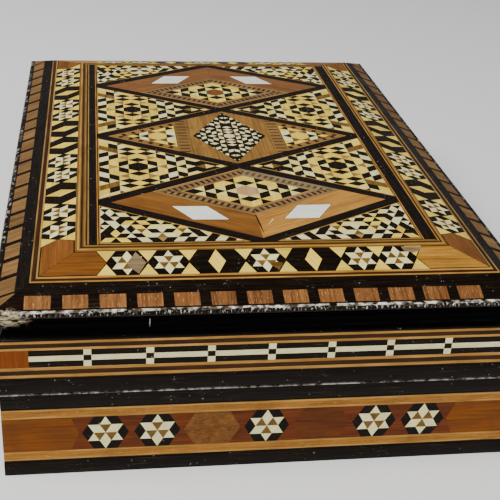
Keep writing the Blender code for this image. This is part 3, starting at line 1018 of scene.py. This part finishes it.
def make_walls():
    """The black walls, each with a recess for its band. The body's have a rim, which the lid's fit over."""
    recess = VENEER + GAP
    rim = WALL - RIM_THICKNESS
    top = LID_WALL[0] - GAP
    low, high = BODY_BAND[0] - GAP, BODY_BAND[1] + GAP
    wall = [(WALL, 0.0), (0.0, 0.0), (0.0, low), (recess, low), (recess, high), (0.0, high), (0.0, top)]
    wall += [(rim, top), (rim, RIM_TOP), (WALL, RIM_TOP)]
    low, high = LID_BAND[0] - GAP, LID_BAND[1] + GAP
    lid_wall = [(0.0, LID_WALL[0]), (0.0, low), (recess, low), (recess, high), (0.0, high)]
    lid_wall += hollow_arc(LID_WALL[1] - COVE_HEIGHT - COVE_FILLET)
    lid_wall += [(0.0, LID_WALL[1]), (WALL, LID_WALL[1]), (WALL, RIM_TOP + GAP)]
    lid_wall += [(rim - GAP, RIM_TOP + GAP), (rim - GAP, LID_WALL[0])]
    profiles = {"body_wall": eased(wall, (1, 2, 5, 6)), "lid_wall": eased(lid_wall, (0, 1))}
    for side in SIDES:
        for kind, profile in profiles.items():
            node = f"{kind}_{side}"
            strip(f"{node}_black", profile, side, BODY_X, BODY_Y, BLACK_WALL, (node,))


# Lines and bands


def lines(half, levels):
    """Long straight chips: each level is its lower edge, its upper edge and its wood."""
    return [chip(rectangle(-half, half, low, high), wood, grain=0.0) for low, high, wood in levels]


def overlay(chips):
    """The chips raised a little, so that they cover what they are laid on."""
    return [{**item, "lift": item["lift"] + OVERLAY} for item in chips]


def lay_upright(node, side, chips, low, high):
    """A band let into an upright wall, its chips and its ground cut back a little where two bands meet."""
    half = half_along(side, BODY_X, BODY_Y)
    limits = rectangle(BAND_PLAY - half, half - BAND_PLAY, low, high)
    ground = rectangle(VENEER - half, half - VENEER, low, high)
    sheet = plane(side, half_out(side, BODY_X, BODY_Y), 0.0, None)
    lay(f"{node}_inlay", [(sheet, trimmed(chips, limits), [ground])], [node])


# Play between two bands at a corner of the box
BAND_PLAY = 0.06

# Lines of the star bands: their distance from the foot and from the head of the band
STAR_BAND_FOOT = (0.05, 0.50, 1.62, 2.10)
STAR_BAND_HEAD = (2.10, 1.62, 0.55, 0.05)
STAR_BAND_WOODS = ("black", "string", "amber", "string", "russet", "string", "amber", "string", "black")
STAR_SIDE = 4.33

# Units of a band from left to right: a star's middle and one of its full points in degrees, or the ends and
# the wood of a long hexagon
FRONT_UNITS = [
    ("star", -30.4, 30),
    ("star", -20.8, 30),
    ("long", -15.9, -5.1, "burl"),
    ("star", -0.1, 90),
    ("long", 4.8, 16.0, "rose"),
    ("star", 20.8, 30),
    ("star", 30.4, 90),
]
FLANK_STARS = (-52.5, -43.0, -21.7, -12.2, 12.2, 21.7, 43.0, 52.5)
FLANK_LONGS = ((-32.35, 6.3, "burl"), (0.0, 7.6, "rose"), (32.35, 6.3, "burl"))


def make_body_bands():
    """Stars and long hexagons on red, between golden lines, with a brown end at each corner of the box."""
    low, high = BODY_BAND[0] - GAP + JOINT, BODY_BAND[1] + GAP - JOINT
    foot = [BODY_BAND[0] + up for up in STAR_BAND_FOOT]
    head = [BODY_BAND[1] - down for down in STAR_BAND_HEAD]
    marks = [low, *foot, *head, high]
    star_low, star_high = marks[4], marks[5]
    middle = (star_low + star_high) / 2
    rise = (star_high - star_low) / 2
    flank = [("star", centre, 30 if number % 2 else 90) for number, centre in enumerate(FLANK_STARS)]
    flank += [("long", centre - half, centre + half, wood) for centre, half, wood in FLANK_LONGS]
    for side in SIDES:
        half = half_along(side, BODY_X, BODY_Y)
        units = FRONT_UNITS if side in ("front", "back") else flank
        if side == "back":
            units = mirrored(units)
        chips = lines(half, zip(marks, marks[1:], STAR_BAND_WOODS))
        last = max(x for kind, x, *_ in units if kind == "star") + STAR_SIDE + 0.5
        for sign in (-1, 1):
            outer, tip, back = sign * half, sign * last, sign * (last + 1.5)
            points = [(outer, star_low), (outer, star_high), (back, star_high)]
            points += [(tip, middle), (back, star_low)]
            chips += overlay([chip(points, "apricot", grain=0.0)])
        for kind, x, *rest in units:
            if kind == "long":
                chips += overlay(long_hexagon(x, rest[0], middle, rise / ROOT3 * 2, rest[1]))
            else:
                chips += overlay(
                    stretched(star((x, middle), STAR_SIDE, rest[0]), middle, rise / (STAR_SIDE * ROOT3 / 2))
                )
        lay_upright(f"body_star_band_{side}", side, chips, low, high)


# Lid bands: heights of the three lines in the middle, of all lines, and the crosses on them
MIDDLE_LINES = (24.33, 25.57, 26.70, 27.90)
LID_LINES = (22.10, 22.75, 23.68, *MIDDLE_LINES, 28.42, 29.28, 29.80)
LID_LINE_WOODS = (
    *("black", "string", "string_dark", "string"),
    *("black", "bone", "black"),
    *("string", "string_dark", "string", "black"),
)
CROSS_WOODS = ("bone", "black", "bone")
CROSS_WIDTH = 1.42
CROSS_PITCH = 11.07
FRONT_CROSS_SHIFT = 0.2
ORANGE_LENGTH = 5.5


def make_lid_bands():
    """A bone line on black, crossed by short bars, between golden lines and two orange ends."""
    low, high = LID_BAND[0] - GAP + JOINT, LID_BAND[1] + GAP - JOINT
    marks = [low, *LID_LINES, high]
    for side in SIDES:
        half = half_along(side, BODY_X, BODY_Y)
        chips = lines(half, zip(marks, marks[1:], LID_LINE_WOODS))
        for sign in (-1, 1):
            block = rectangle(-half, ORANGE_LENGTH - half, MIDDLE_LINES[0], MIDDLE_LINES[-1])
            chips += overlay([chip([(sign * x, y) for x, y in block], "orange", grain=math.pi / 2)])
        count = 3 if side in ("front", "back") else 5
        for number in range(-count, count + 1):
            x = number * CROSS_PITCH - (FRONT_CROSS_SHIFT if side == "front" else 0.0)
            for bottom, top, wood in zip(MIDDLE_LINES, MIDDLE_LINES[1:], CROSS_WOODS):
                bar = rectangle(x - CROSS_WIDTH / 2, x + CROSS_WIDTH / 2, bottom, top)
                chips += overlay([chip(bar, wood)])
        lay_upright(f"lid_line_band_{side}", side, chips, low, high)


def band_of_stars(units, low, high, side_length, ends):
    """Stars, long hexagons and yellow triangles on black, between two brown ends."""
    middle = (low + high) / 2
    rise = (high - low) / 2
    width = rise / ROOT3 * 2
    chips = []
    marks = []
    for kind, x, *rest in units:
        if kind == "star":
            made = star((x, middle), side_length, rest[0], grounds=False)
            chips += overlay(stretched(made, middle, rise / (side_length * ROOT3 / 2)))
            marks += [x - side_length - STAR_PLAY, x + side_length + STAR_PLAY]
        else:
            made = long_hexagon(x, rest[0], middle, width, "black", "lemon")
            chips += overlay(made[1:])
            marks += [x, rest[0]]
    marks.sort()
    joints = [(left + right) / 2 for left, right in zip(marks[1::2], marks[2::2])]
    for x in (marks[0], *joints, marks[-1]):
        for sign in (-1, 1):
            edge = middle + sign * rise
            reach = (rise - WEDGE_PLAY) / ROOT3
            points = [(x, middle + sign * WEDGE_PLAY), (x + reach, edge), (x - reach, edge)]
            chips += overlay([chip(points, "lemon", grain=0.0)])
    top, bottom = high - END_PLAY, low + END_PLAY
    for sign, tip, wood in ((-1, marks[0], ends[0]), (1, marks[-1], ends[1])):
        back = tip + sign * (rise - END_PLAY) / ROOT3
        far = tip + sign * END_LENGTH
        points = [(tip, middle), (back, top), (far, top), (far, bottom), (back, bottom)]
        chips += overlay([chip(points, wood, grain=0.0)])
    return chips


# Damage of the near band, from the middle of the box and of the band: filler in half of the first star, a
# brown mend in the middle one, and a rubbed triangle at the last
FILLED = [(-25.3, 1.2), (-24.5, 3.0), (-22.6, 0.0), (-24.0, -3.0), (-25.6, -1.3), (-26.0, -0.3)]
MENDED = [(0.5, -0.2), (2.6, -0.9), (1.6, -2.6), (0.2, -1.4)]
RUBBED = [(26.3, 1.9), (26.0, 3.1), (30.1, 3.1), (29.4, 1.9), (27.9, 1.3)]

# Play around the stars, the yellow triangles and the brown ends, and how far an end may run before it is cut
STAR_PLAY = 0.1
WEDGE_PLAY = 0.3
END_PLAY = 0.2
END_LENGTH = 40

# Lines of the bevel, as distances from the ridge in plan: the foot and head of each and its wood
BEVEL_STARS = (-7.40, -1.02)
BEVEL_HEAD_LINES = [(-1.02, -0.65, "walnut"), (-0.65, -0.20, "string"), (-0.20, 0.0, "walnut")]
BEVEL_STAR_SIDE = 3.67
BEVEL_UNITS = [
    ("star", -26.05, 90),
    ("star", -18.46, 30),
    ("long", -14.83, -4.41),
    ("star", -0.48, 30),
    ("long", 3.15, 13.76),
    ("star", 17.5, 30),
    ("star", 24.53, 90),
]

# The same on the long sides, as distances from the end of the panel, and half the length of their hexagons
PANEL_HALF = 54.5
BEVEL_FLANK_STARS = (9.0, 16.7, 34.7, 42.4, 70.5, 78.0, 95.7, 103.2)
BEVEL_FLANK_LONGS = (25.7, 51.3, 61.6, 86.85)
FLANK_LONG_HALF = 5.2

# Lines on the flat border round the panel, from the ridge inward. The right side has a plain black one.
BORDER_LINES = [
    (0.0, 0.38, "string_dark"),
    (0.38, 0.70, "walnut"),
    (0.70, 0.86, "string"),
    (0.86, 1.2, "walnut"),
]
RIGHT_BORDER_LINES = [(0.0, 0.30, "string_dark"), (0.30, 0.55, "string"), (0.55, 1.2, "black")]


def make_bevel_bands():
    """Stars, hexagons and triangles on the slope of the lid, and the lines on the flat border above it."""
    scale = math.hypot(1.0, BEVEL_RISE)
    run = RIDGE_IN - BEVEL_IN + GROWTH
    deep = run * scale
    foot_lines = [(-7.90, -7.40, "string"), (-8.50, -7.90, "string_dark"), (-run, -8.50, "string")]
    flank_foot_lines = [(-7.75, -7.40, "olive"), (-8.55, -7.75, "string_dark"), (-run, -8.55, "olive")]
    flank = []
    for number, y in enumerate(BEVEL_FLANK_STARS):
        flank.append(("star", y - PANEL_HALF, 30 if number % 3 else 90))
    for y in BEVEL_FLANK_LONGS:
        flank.append(("long", y - PANEL_HALF - FLANK_LONG_HALF, y - PANEL_HALF + FLANK_LONG_HALF))
    star_low, star_high = (edge * scale for edge in BEVEL_STARS)
    for side in SIDES:
        is_end = side in ("front", "back")
        half = half_along(side, LID_X - RIDGE_IN, LID_Y - RIDGE_IN)
        slope = [(-half - run, -deep), (half + run, -deep), (half, 0.0), (-half, 0.0)]
        units = BEVEL_UNITS if is_end else flank
        if side in ("back", "left"):
            units = mirrored(units)
        levels = [*BEVEL_HEAD_LINES, (*BEVEL_STARS, "black"), *(foot_lines if is_end else flank_foot_lines)]
        chips = lines(half + run, [(low * scale, high * scale, wood) for low, high, wood in levels])
        ends = ("plum", "honey") if is_end else ("plum", "plum")
        chips += band_of_stars(units, star_low, star_high, BEVEL_STAR_SIDE, ends)
        if side == "front":
            middle = (star_low + star_high) / 2
            for points, wood in ((FILLED, "filler"), (MENDED, "walnut"), (RUBBED, "filler")):
                chips.append(chip([(x, middle + y) for x, y in points], wood, 2 * OVERLAY, 0.0))
        inner = half - PANEL_BORDER
        border = [(-half, 0.0), (half, 0.0), (inner, PANEL_BORDER), (-inner, PANEL_BORDER)]
        border_chips = lines(half, RIGHT_BORDER_LINES if side == "right" else BORDER_LINES)
        out = half_out(side, LID_X - RIDGE_IN, LID_Y - RIDGE_IN)
        sheets = [
            (plane(side, out, PANEL_TOP, BEVEL_RISE), trimmed(chips, slope, 0.02), [slope]),
            (plane(side, out, PANEL_TOP, 0.0), trimmed(border_chips, border, 0.02), [border]),
        ]
        node = f"bevel_band_{side}"
        lay(f"{node}_inlay", sheets, [node])


# Edge mouldings


# Blocks in the mouldings: their pitch, height and how far they stand out. Then for the ends and the long
# sides their length, where they start and end from the outer edge, and how many there are.
BLOCK_PITCH = 6.5
BLOCK_HEIGHT = 0.6
BLOCK_PROUD = 0.012
END_BLOCKS = (4.75, 1.05, 4.0, 13)
FLANK_BLOCKS = (5.4, 1.2, 4.2, 20)
FIRST_END_BLOCK = -41.8
CORNER_BLOCK = 4.9


def lip_profile():
    """The black moulding: a round lip, a slope up to the bevel and a tongue under the lid board."""
    steps = 12
    sunk = 0.05
    profile = []
    for step in range(steps + 1):
        angle = math.pi * (step / steps - 0.5)
        inward = LIP_ROUND * (1 - math.cos(angle))
        profile.append((inward, MOULDING_LOW.z + LIP_HEIGHT / 2 * (1 + math.sin(angle))))
    inner = MOULDING_IN + GROWTH
    top = LIP_TOP + (inner - LIP_ROUND) * MOULDING_RISE
    shelf = MOULDING_LOW.z + MOULDING_SHELF + GAP
    return profile + [(inner, top - sunk), (inner, shelf), (TONGUE, shelf), (TONGUE, MOULDING_LOW.z)]


def make_mouldings():
    profile = lip_profile()
    scale = math.hypot(1.0, MOULDING_RISE)
    for number, side in enumerate(SIDES):
        node = f"edge_moulding_{side}"
        black = BLACK_LIP if side == "front" else BLACK_EDGE
        strip(f"{node}_black", profile, side, LID_X, LID_Y, black, (node,), smooth=20)
        is_end = side in ("front", "back")
        length, near, far, count = END_BLOCKS if is_end else FLANK_BLOCKS
        first = FIRST_END_BLOCK if is_end else -(count - 1) * BLOCK_PITCH / 2
        values = {
            "Count": count,
            "Pitch": BLOCK_PITCH * MM,
            "Block": (length * MM, (far - near) * scale * MM, BLOCK_HEIGHT * MM),
            "Seed": number + 3,
            "Wood": WOODS["beech" if is_end else "beech_faded"],
        }
        row = plain(f"{node}_blocks", bpy.data.meshes.new("none"), BLOCKS, values)
        slope = plane(side, half_out(side, LID_X, LID_Y) - LIP_ROUND, LIP_TOP, MOULDING_RISE)
        middle = ((near + far) / 2 - LIP_ROUND) * scale
        place = slope @ Matrix.Translation((first, middle, BLOCK_PROUD - BLOCK_HEIGHT / 2))
        place.translation *= MM
        row.transform(place)
        piece = settle(f"{node}_blocks", row)
        bevel = piece.modifiers.new("worn_edges", "BEVEL")
        bevel.width = 0.09 * MM
        bevel.segments = 2
        if is_end:
            continue
        half = half_along(side, LID_X, LID_Y)
        corners = []
        for sign in (-1, 1):
            back, edge = half - CORNER_BLOCK, half - 0.2
            quad = [(back, near), (edge - near, near), (edge - far, far), (back, far)]
            points = [(sign * u, (v - LIP_ROUND) * scale) for u, v in quad]
            corners.append(chip(points, "beech_faded", 0.04, math.pi / 2))
        lay(f"{node}_corner_blocks", [(slope, corners, [])], [])


# Panel


def borders(outline, widths, rubbed=None):
    """Lines and dashes inside an outline.

    Each width is a number, a wood, and for dashes their pitch and length.
    The rubbed side, counted from the leftmost corner, has lost its colour.
    """
    chips = []
    inner = 0.0
    for width, wood, *dash in widths:
        outer, inner = inner, inner + width
        near, far = offset_corners(outline, outer), offset_corners(outline, inner)
        for i in range(len(outline)):
            j = (i + 1) % len(outline)
            quad = [near[i], near[j], far[j], far[i]]
            chips.append(chip(quad, "filler" if i == rubbed else wood))
            if not dash:
                continue
            pitch, size = dash
            a, b = Vector(near[i]), Vector(near[j])
            run = (b - a).normalized()
            across = Vector((-run.y, run.x))
            for number in range(int((b - a).length / pitch)):
                start = a + run * (number + 0.5) * pitch
                end = start + run * size
                points = [start, end, end + across * width, start + across * width]
                if len(dashed := clip([tuple(p) for p in points], quad)) > 2:
                    chips.append(chip(dashed, "faded" if i == rubbed else "string_dark", OVERLAY))
    return chips


def edge_lines(outline, width, wood, shortest=10.0):
    """Thin lines inside the long edges of an outline."""
    chips = []
    for a, b in zip(outline, outline[1:] + outline[:1]):
        run = Vector(b) - Vector(a)
        if run.length < shortest:
            continue
        run.normalize()
        across = Vector((-run.y, run.x)) * width
        points = [a, b, tuple(Vector(b) + across), tuple(Vector(a) + across)]
        chips.append(chip(clip(points, outline), wood, OVERLAY))
    return chips


def lay_flat(node, chips, outline, lined=False):
    """One flat piece of the panel. A lined piece has a thin line along its long edges."""
    chips = trimmed(chips, outline)
    if lined:
        chips += overlay(edge_lines(outline, 0.24, "string"))
    return lay(f"{node}_inlay", [(FLAT, chips, [outline])], [node])


# Woods across a panel stripe, from the inside out. The right one is plain black after the first two.
STRIPE_WOODS = ("string", "string_dark", "black", "string_dark", "olive")


def make_strips():
    """Black strips that outline the diamonds, and a stripe along each side of the panel."""
    for number in range(1, 4 * DIAMONDS + 1):
        node = f"diamond_strip_{number}"
        outline = top_outline(node)
        lay_flat(node, [chip(outline, "black")], outline)
    inner, outer = STRIPE_LOW.x - GROWTH, STRIPE_HIGH.x + GROWTH
    first = [inner, inner + 0.22, inner + 0.42]
    marks = {"left": [*first, outer - 0.42, outer - 0.28, outer], "right": [*first, outer]}
    for side, sign in (("left", -1), ("right", 1)):
        node = f"panel_stripe_{side}"
        chips = []
        for x0, x1, wood in zip(marks[side], marks[side][1:], STRIPE_WOODS):
            points = [(sign * x, y) for x, y in rectangle(x0, x1, -FIELD_Y - 1, FIELD_Y + 1)]
            chips.append(chip(points, wood, grain=math.pi / 2))
        lay_flat(node, chips, top_outline(node))


# Sides of the cells of each fine field. Those of the corner fields are drawn in along the box to CORNER_STEP.
SIDE_CELL = 2.44
CORNER_CELL = 1.96
CORNER_STEP = 1.76
LOZENGE_CELL = 2.6
RHOMBUS_CELL = 1.57

# Where the pattern of a side field, of a corner field and of an end triangle starts, left of the middle
SIDE_START = -22.3
CORNER_START = (-19.1, 0.45 - FIELD_Y)
TRIANGLE_START = -17.0


def make_side_fields():
    chips = lattice(SIDE_FIELD, -4, SIDE_CELL)
    for joint in (1, 2):
        for side, sign in (("left", 1), ("right", -1)):
            node = f"side_field_{side}_{joint}"
            low, high = span(node)
            placed = moved(chips, sign, 1, (SIDE_START * sign, (low.y + high.y) / 2))
            lay_flat(node, placed, top_outline(node), True)


def make_corner_fields():
    chips = lattice(CORNER_FIELD, 0, CORNER_CELL, lying=True)
    chips = stretched(chips, 0.0, CORNER_STEP / (CORNER_CELL * ROOT3 / 2))
    for end, sign_y in (("front", 1), ("back", -1)):
        for side, sign_x in (("left", 1), ("right", -1)):
            node = f"corner_field_{end}_{side}"
            start = (CORNER_START[0] * sign_x, CORNER_START[1] * sign_y)
            placed = moved(chips, sign_x, sign_y, start)
            lay_flat(node, placed, top_outline(node), True)


# Border of the end lozenges, from the edge inward, and its whole width. The marquetry starts inside it.
LOZENGE_BORDER = [
    (0.3, "string"),
    (0.6, "border"),
    (1.5, "border", 1.4, 0.66),
    (0.6, "border"),
    (0.3, "string"),
]
LOZENGE_BORDER_WIDTH = 3.31


def make_lozenges():
    """The end lozenges. One side of the near one's border is rubbed, and the far one's pear is darker."""
    chips = lattice(LOZENGE, -6, LOZENGE_CELL)
    for end in ("front", "back"):
        node = f"lozenge_{end}"
        outline = top_outline(node)
        low, high = span(node)
        centre = ((low.x + high.x) / 2, (low.y + high.y) / 2)
        placed = trimmed(moved(chips, 1, 1, centre), offset_corners(outline, LOZENGE_BORDER_WIDTH))
        for item in placed:
            if item["wood"] == "pear" and end == "back":
                item["wood"] = "plum"
        border = borders(outline, LOZENGE_BORDER, 2 if end == "front" else None)
        lay_flat(node, border + placed, outline)


def make_chevrons():
    """Two brown arms with a pearl rhombus let into each. In the near one they part in a dark crack."""
    for end in ("front", "back"):
        node = f"chevron_{end}"
        whole = top_outline(node, f"lozenge_{end}")
        low, high = span(f"lozenge_{end}")
        tip = low.y if end == "front" else high.y
        waist = (low.y + high.y) / 2
        brown = []
        for sign in (-1, 1):
            x0, x1 = sorted((0.0, sign * BEYOND))
            arm = clip(whole, rectangle(x0, x1, -BEYOND, BEYOND))
            direction = Vector((sign * high.x, waist - tip))
            if (end == "front") == (sign > 0):
                direction = -direction
            arm = cut(arm, (0.0, tip), tuple(direction))
            wood = ("walnut_shade" if sign < 0 else "walnut_panel") if end == "front" else "cherry_panel"
            brown.append(chip(arm, wood, grain=math.atan2(direction.y, direction.x)))
        grounds = [shrink(item["points"], JOINT / 2) for item in brown]
        if end == "front":
            reach = (span(node)[0].y - tip) * 0.92
            half_way = tip + reach / 2
            split = [(0.10, half_way), (0.5, tip + reach), (0.46, half_way), (0.16, tip), (-0.14, tip)]
            brown.append(chip(split, "black", OVERLAY, 0.0))
            scratch = [(1.5, tip + reach * 0.55), (3.2, tip + reach * 0.2), (3.3, tip + reach * 0.24)]
            brown.append(chip(scratch, "bone", OVERLAY / 2))
        lay(f"{node}_brown", [(FLAT, brown, grounds)], [node])
        for side in ("left", "right"):
            pearl = top_outline(f"pearl_{end}_{side}")
            rim = chip(offset_corners(pearl, -0.12), "string_dark", OVERLAY / 2)
            pair = [rim, chip(pearl, "pearl", OVERLAY)]
            lay(f"pearl_{end}_{side}_shell", [(FLAT, pair, [])], [f"pearl_{end}_{side}"])


# Border of the end triangles, from the edge inward, and its whole width
TRIANGLE_BORDER = [(0.25, "string"), (0.3, "ladder"), (1.3, "ladder", 2.6, 1.0), (0.3, "ladder")]
TRIANGLE_BORDER_WIDTH = 2.15

# The ladder at the foot of each: its width, the distance between its rungs and half the width of a rung
LADDER = 3.0
RUNG_PITCH = 1.9
RUNG_HALF = 0.25


def make_middle():
    """The brown middle diamond, the rhombus on it, and the two end triangles with their ladders."""
    outline = top_outline("middle_diamond")
    lay_flat("middle_diamond", [chip(outline, "walnut_middle", grain=math.pi / 2)], outline)
    chips = lattice(MIDDLE_RHOMBUS[::-1] + MIDDLE_RHOMBUS, -len(MIDDLE_RHOMBUS), RHOMBUS_CELL)
    for item in chips:
        if item["wood"] != "black":
            item["points"] = shrink(item["points"], 0.1)
    rhombus = top_outline("middle_rhombus")
    placed = [chip(rhombus, "black", OVERLAY / 2)] + overlay(trimmed(chips, offset_corners(rhombus, 0.1)))
    lay("middle_rhombus_inlay", [(FLAT, placed, [])], ["middle_rhombus"])
    fine = lattice(END_TRIANGLE, -5, SIDE_CELL)
    for side, sign in (("left", 1), ("right", -1)):
        node = f"end_triangle_{side}"
        outline = top_outline(node)
        base = min(abs(corner.x) for corner in span(node))
        body = moved(fine, sign, 1, (TRIANGLE_START * sign, 0.0))
        body = trimmed(body, offset_corners(outline, TRIANGLE_BORDER_WIDTH))
        back = [(-sign * x, y) for x, y in rectangle(base - 1, base + LADDER, -40, 40)]
        rungs = [chip(back, "ladder", 1.5 * OVERLAY, 0.0)]
        for step in range(-8, 9):
            y = step * RUNG_PITCH
            rung = rectangle(base + 0.35, base + LADDER - 0.3, y - RUNG_HALF, y + RUNG_HALF)
            rungs.append(chip([(-sign * x, y) for x, y in rung], "string_dark", 2.1 * OVERLAY, 0.0))
        lay_flat(node, borders(outline, TRIANGLE_BORDER) + body + rungs, outline)


def make_camera():
    location = Vector((-0.03124, -0.21405, 0.1267))
    pitch, yaw, roll = 0.47578, 0.15254, -0.05503
    turned = Matrix.Rotation(-yaw, 4, "Z") @ Matrix.Rotation(math.pi / 2 - pitch, 4, "X")
    turned = turned @ Matrix.Rotation(-roll, 4, "Z")
    lens = bpy.data.cameras.new("camera")
    lens.sensor_width = 36.0
    lens.lens = 70.37
    lens.shift_x = 0.0377
    lens.shift_y = -0.0412
    lens.clip_start = 0.01
    camera = bpy.data.objects.new("camera", lens)
    camera.matrix_world = Matrix.Translation(location) @ turned
    bpy.context.scene.collection.objects.link(camera)
    bpy.context.scene.camera = camera


def make_light(name, place, size, power, colour="FFFFFF"):
    data = bpy.data.lights.new(name, "AREA")
    data.shape = "RECTANGLE"
    data.size, data.size_y = size
    data.energy = power
    data.color = linear(colour)[:3]
    light = bpy.data.objects.new(name, data)
    place = Vector(place)
    light.rotation_euler = (place - Vector((0, 0, 0.03))).to_track_quat("Z", "Y").to_euler()
    light.location = place
    bpy.context.scene.collection.objects.link(light)


def make_studio():
    """A floor and two soft lights: a window above at the left and a weak fill from the front right."""
    floor_mesh = bpy.data.meshes.new("floor")
    floor_mesh.from_pydata([(-3, -3, 0), (3, -3, 0), (3, 3, 0), (-3, 3, 0)], [], [(0, 1, 2, 3)])
    # Pale paper without gloss: an even, nearly white ground that shows only the box's shadow
    paper, _, shader = new_material("pale_paper")
    fill(shader, {"Base Color": "F4F6F8", "Roughness": 0.9})
    floor_mesh.materials.append(paper)
    floor = bpy.data.objects.new("floor", floor_mesh)
    bpy.context.scene.collection.objects.link(floor)
    world = bpy.data.worlds.new("studio")
    world.use_nodes = True
    bpy.context.scene.world = world
    background = world.node_tree.nodes["Background"]
    fill(background, {"Color": "F2F5F7", "Strength": 0.25})
    make_light("window", (-0.40, -0.20, 0.70), (0.45, 0.45), 8.5, "FFFDF8")
    make_light("front_fill", (0.30, -0.80, 0.45), (0.5, 0.3), 2.0)


make_camera()
make_studio()
make_walls()
make_body_bands()
make_lid_bands()
make_bevel_bands()
make_mouldings()
make_strips()
make_side_fields()
make_corner_fields()
make_lozenges()
make_chevrons()
make_middle()

# Bare boards that nobody polished: a dull dark brown with a coarse grain, inside the box and under it
LINING = timber("bare_lining_board", "3B2A1C", "5A4430", 0.5, 3.0, 0.6, turned=math.pi / 2)
for node in ("bottom_board", "lid_board"):
    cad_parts[node].data.materials.clear()
    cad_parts[node].data.materials.append(LINING)
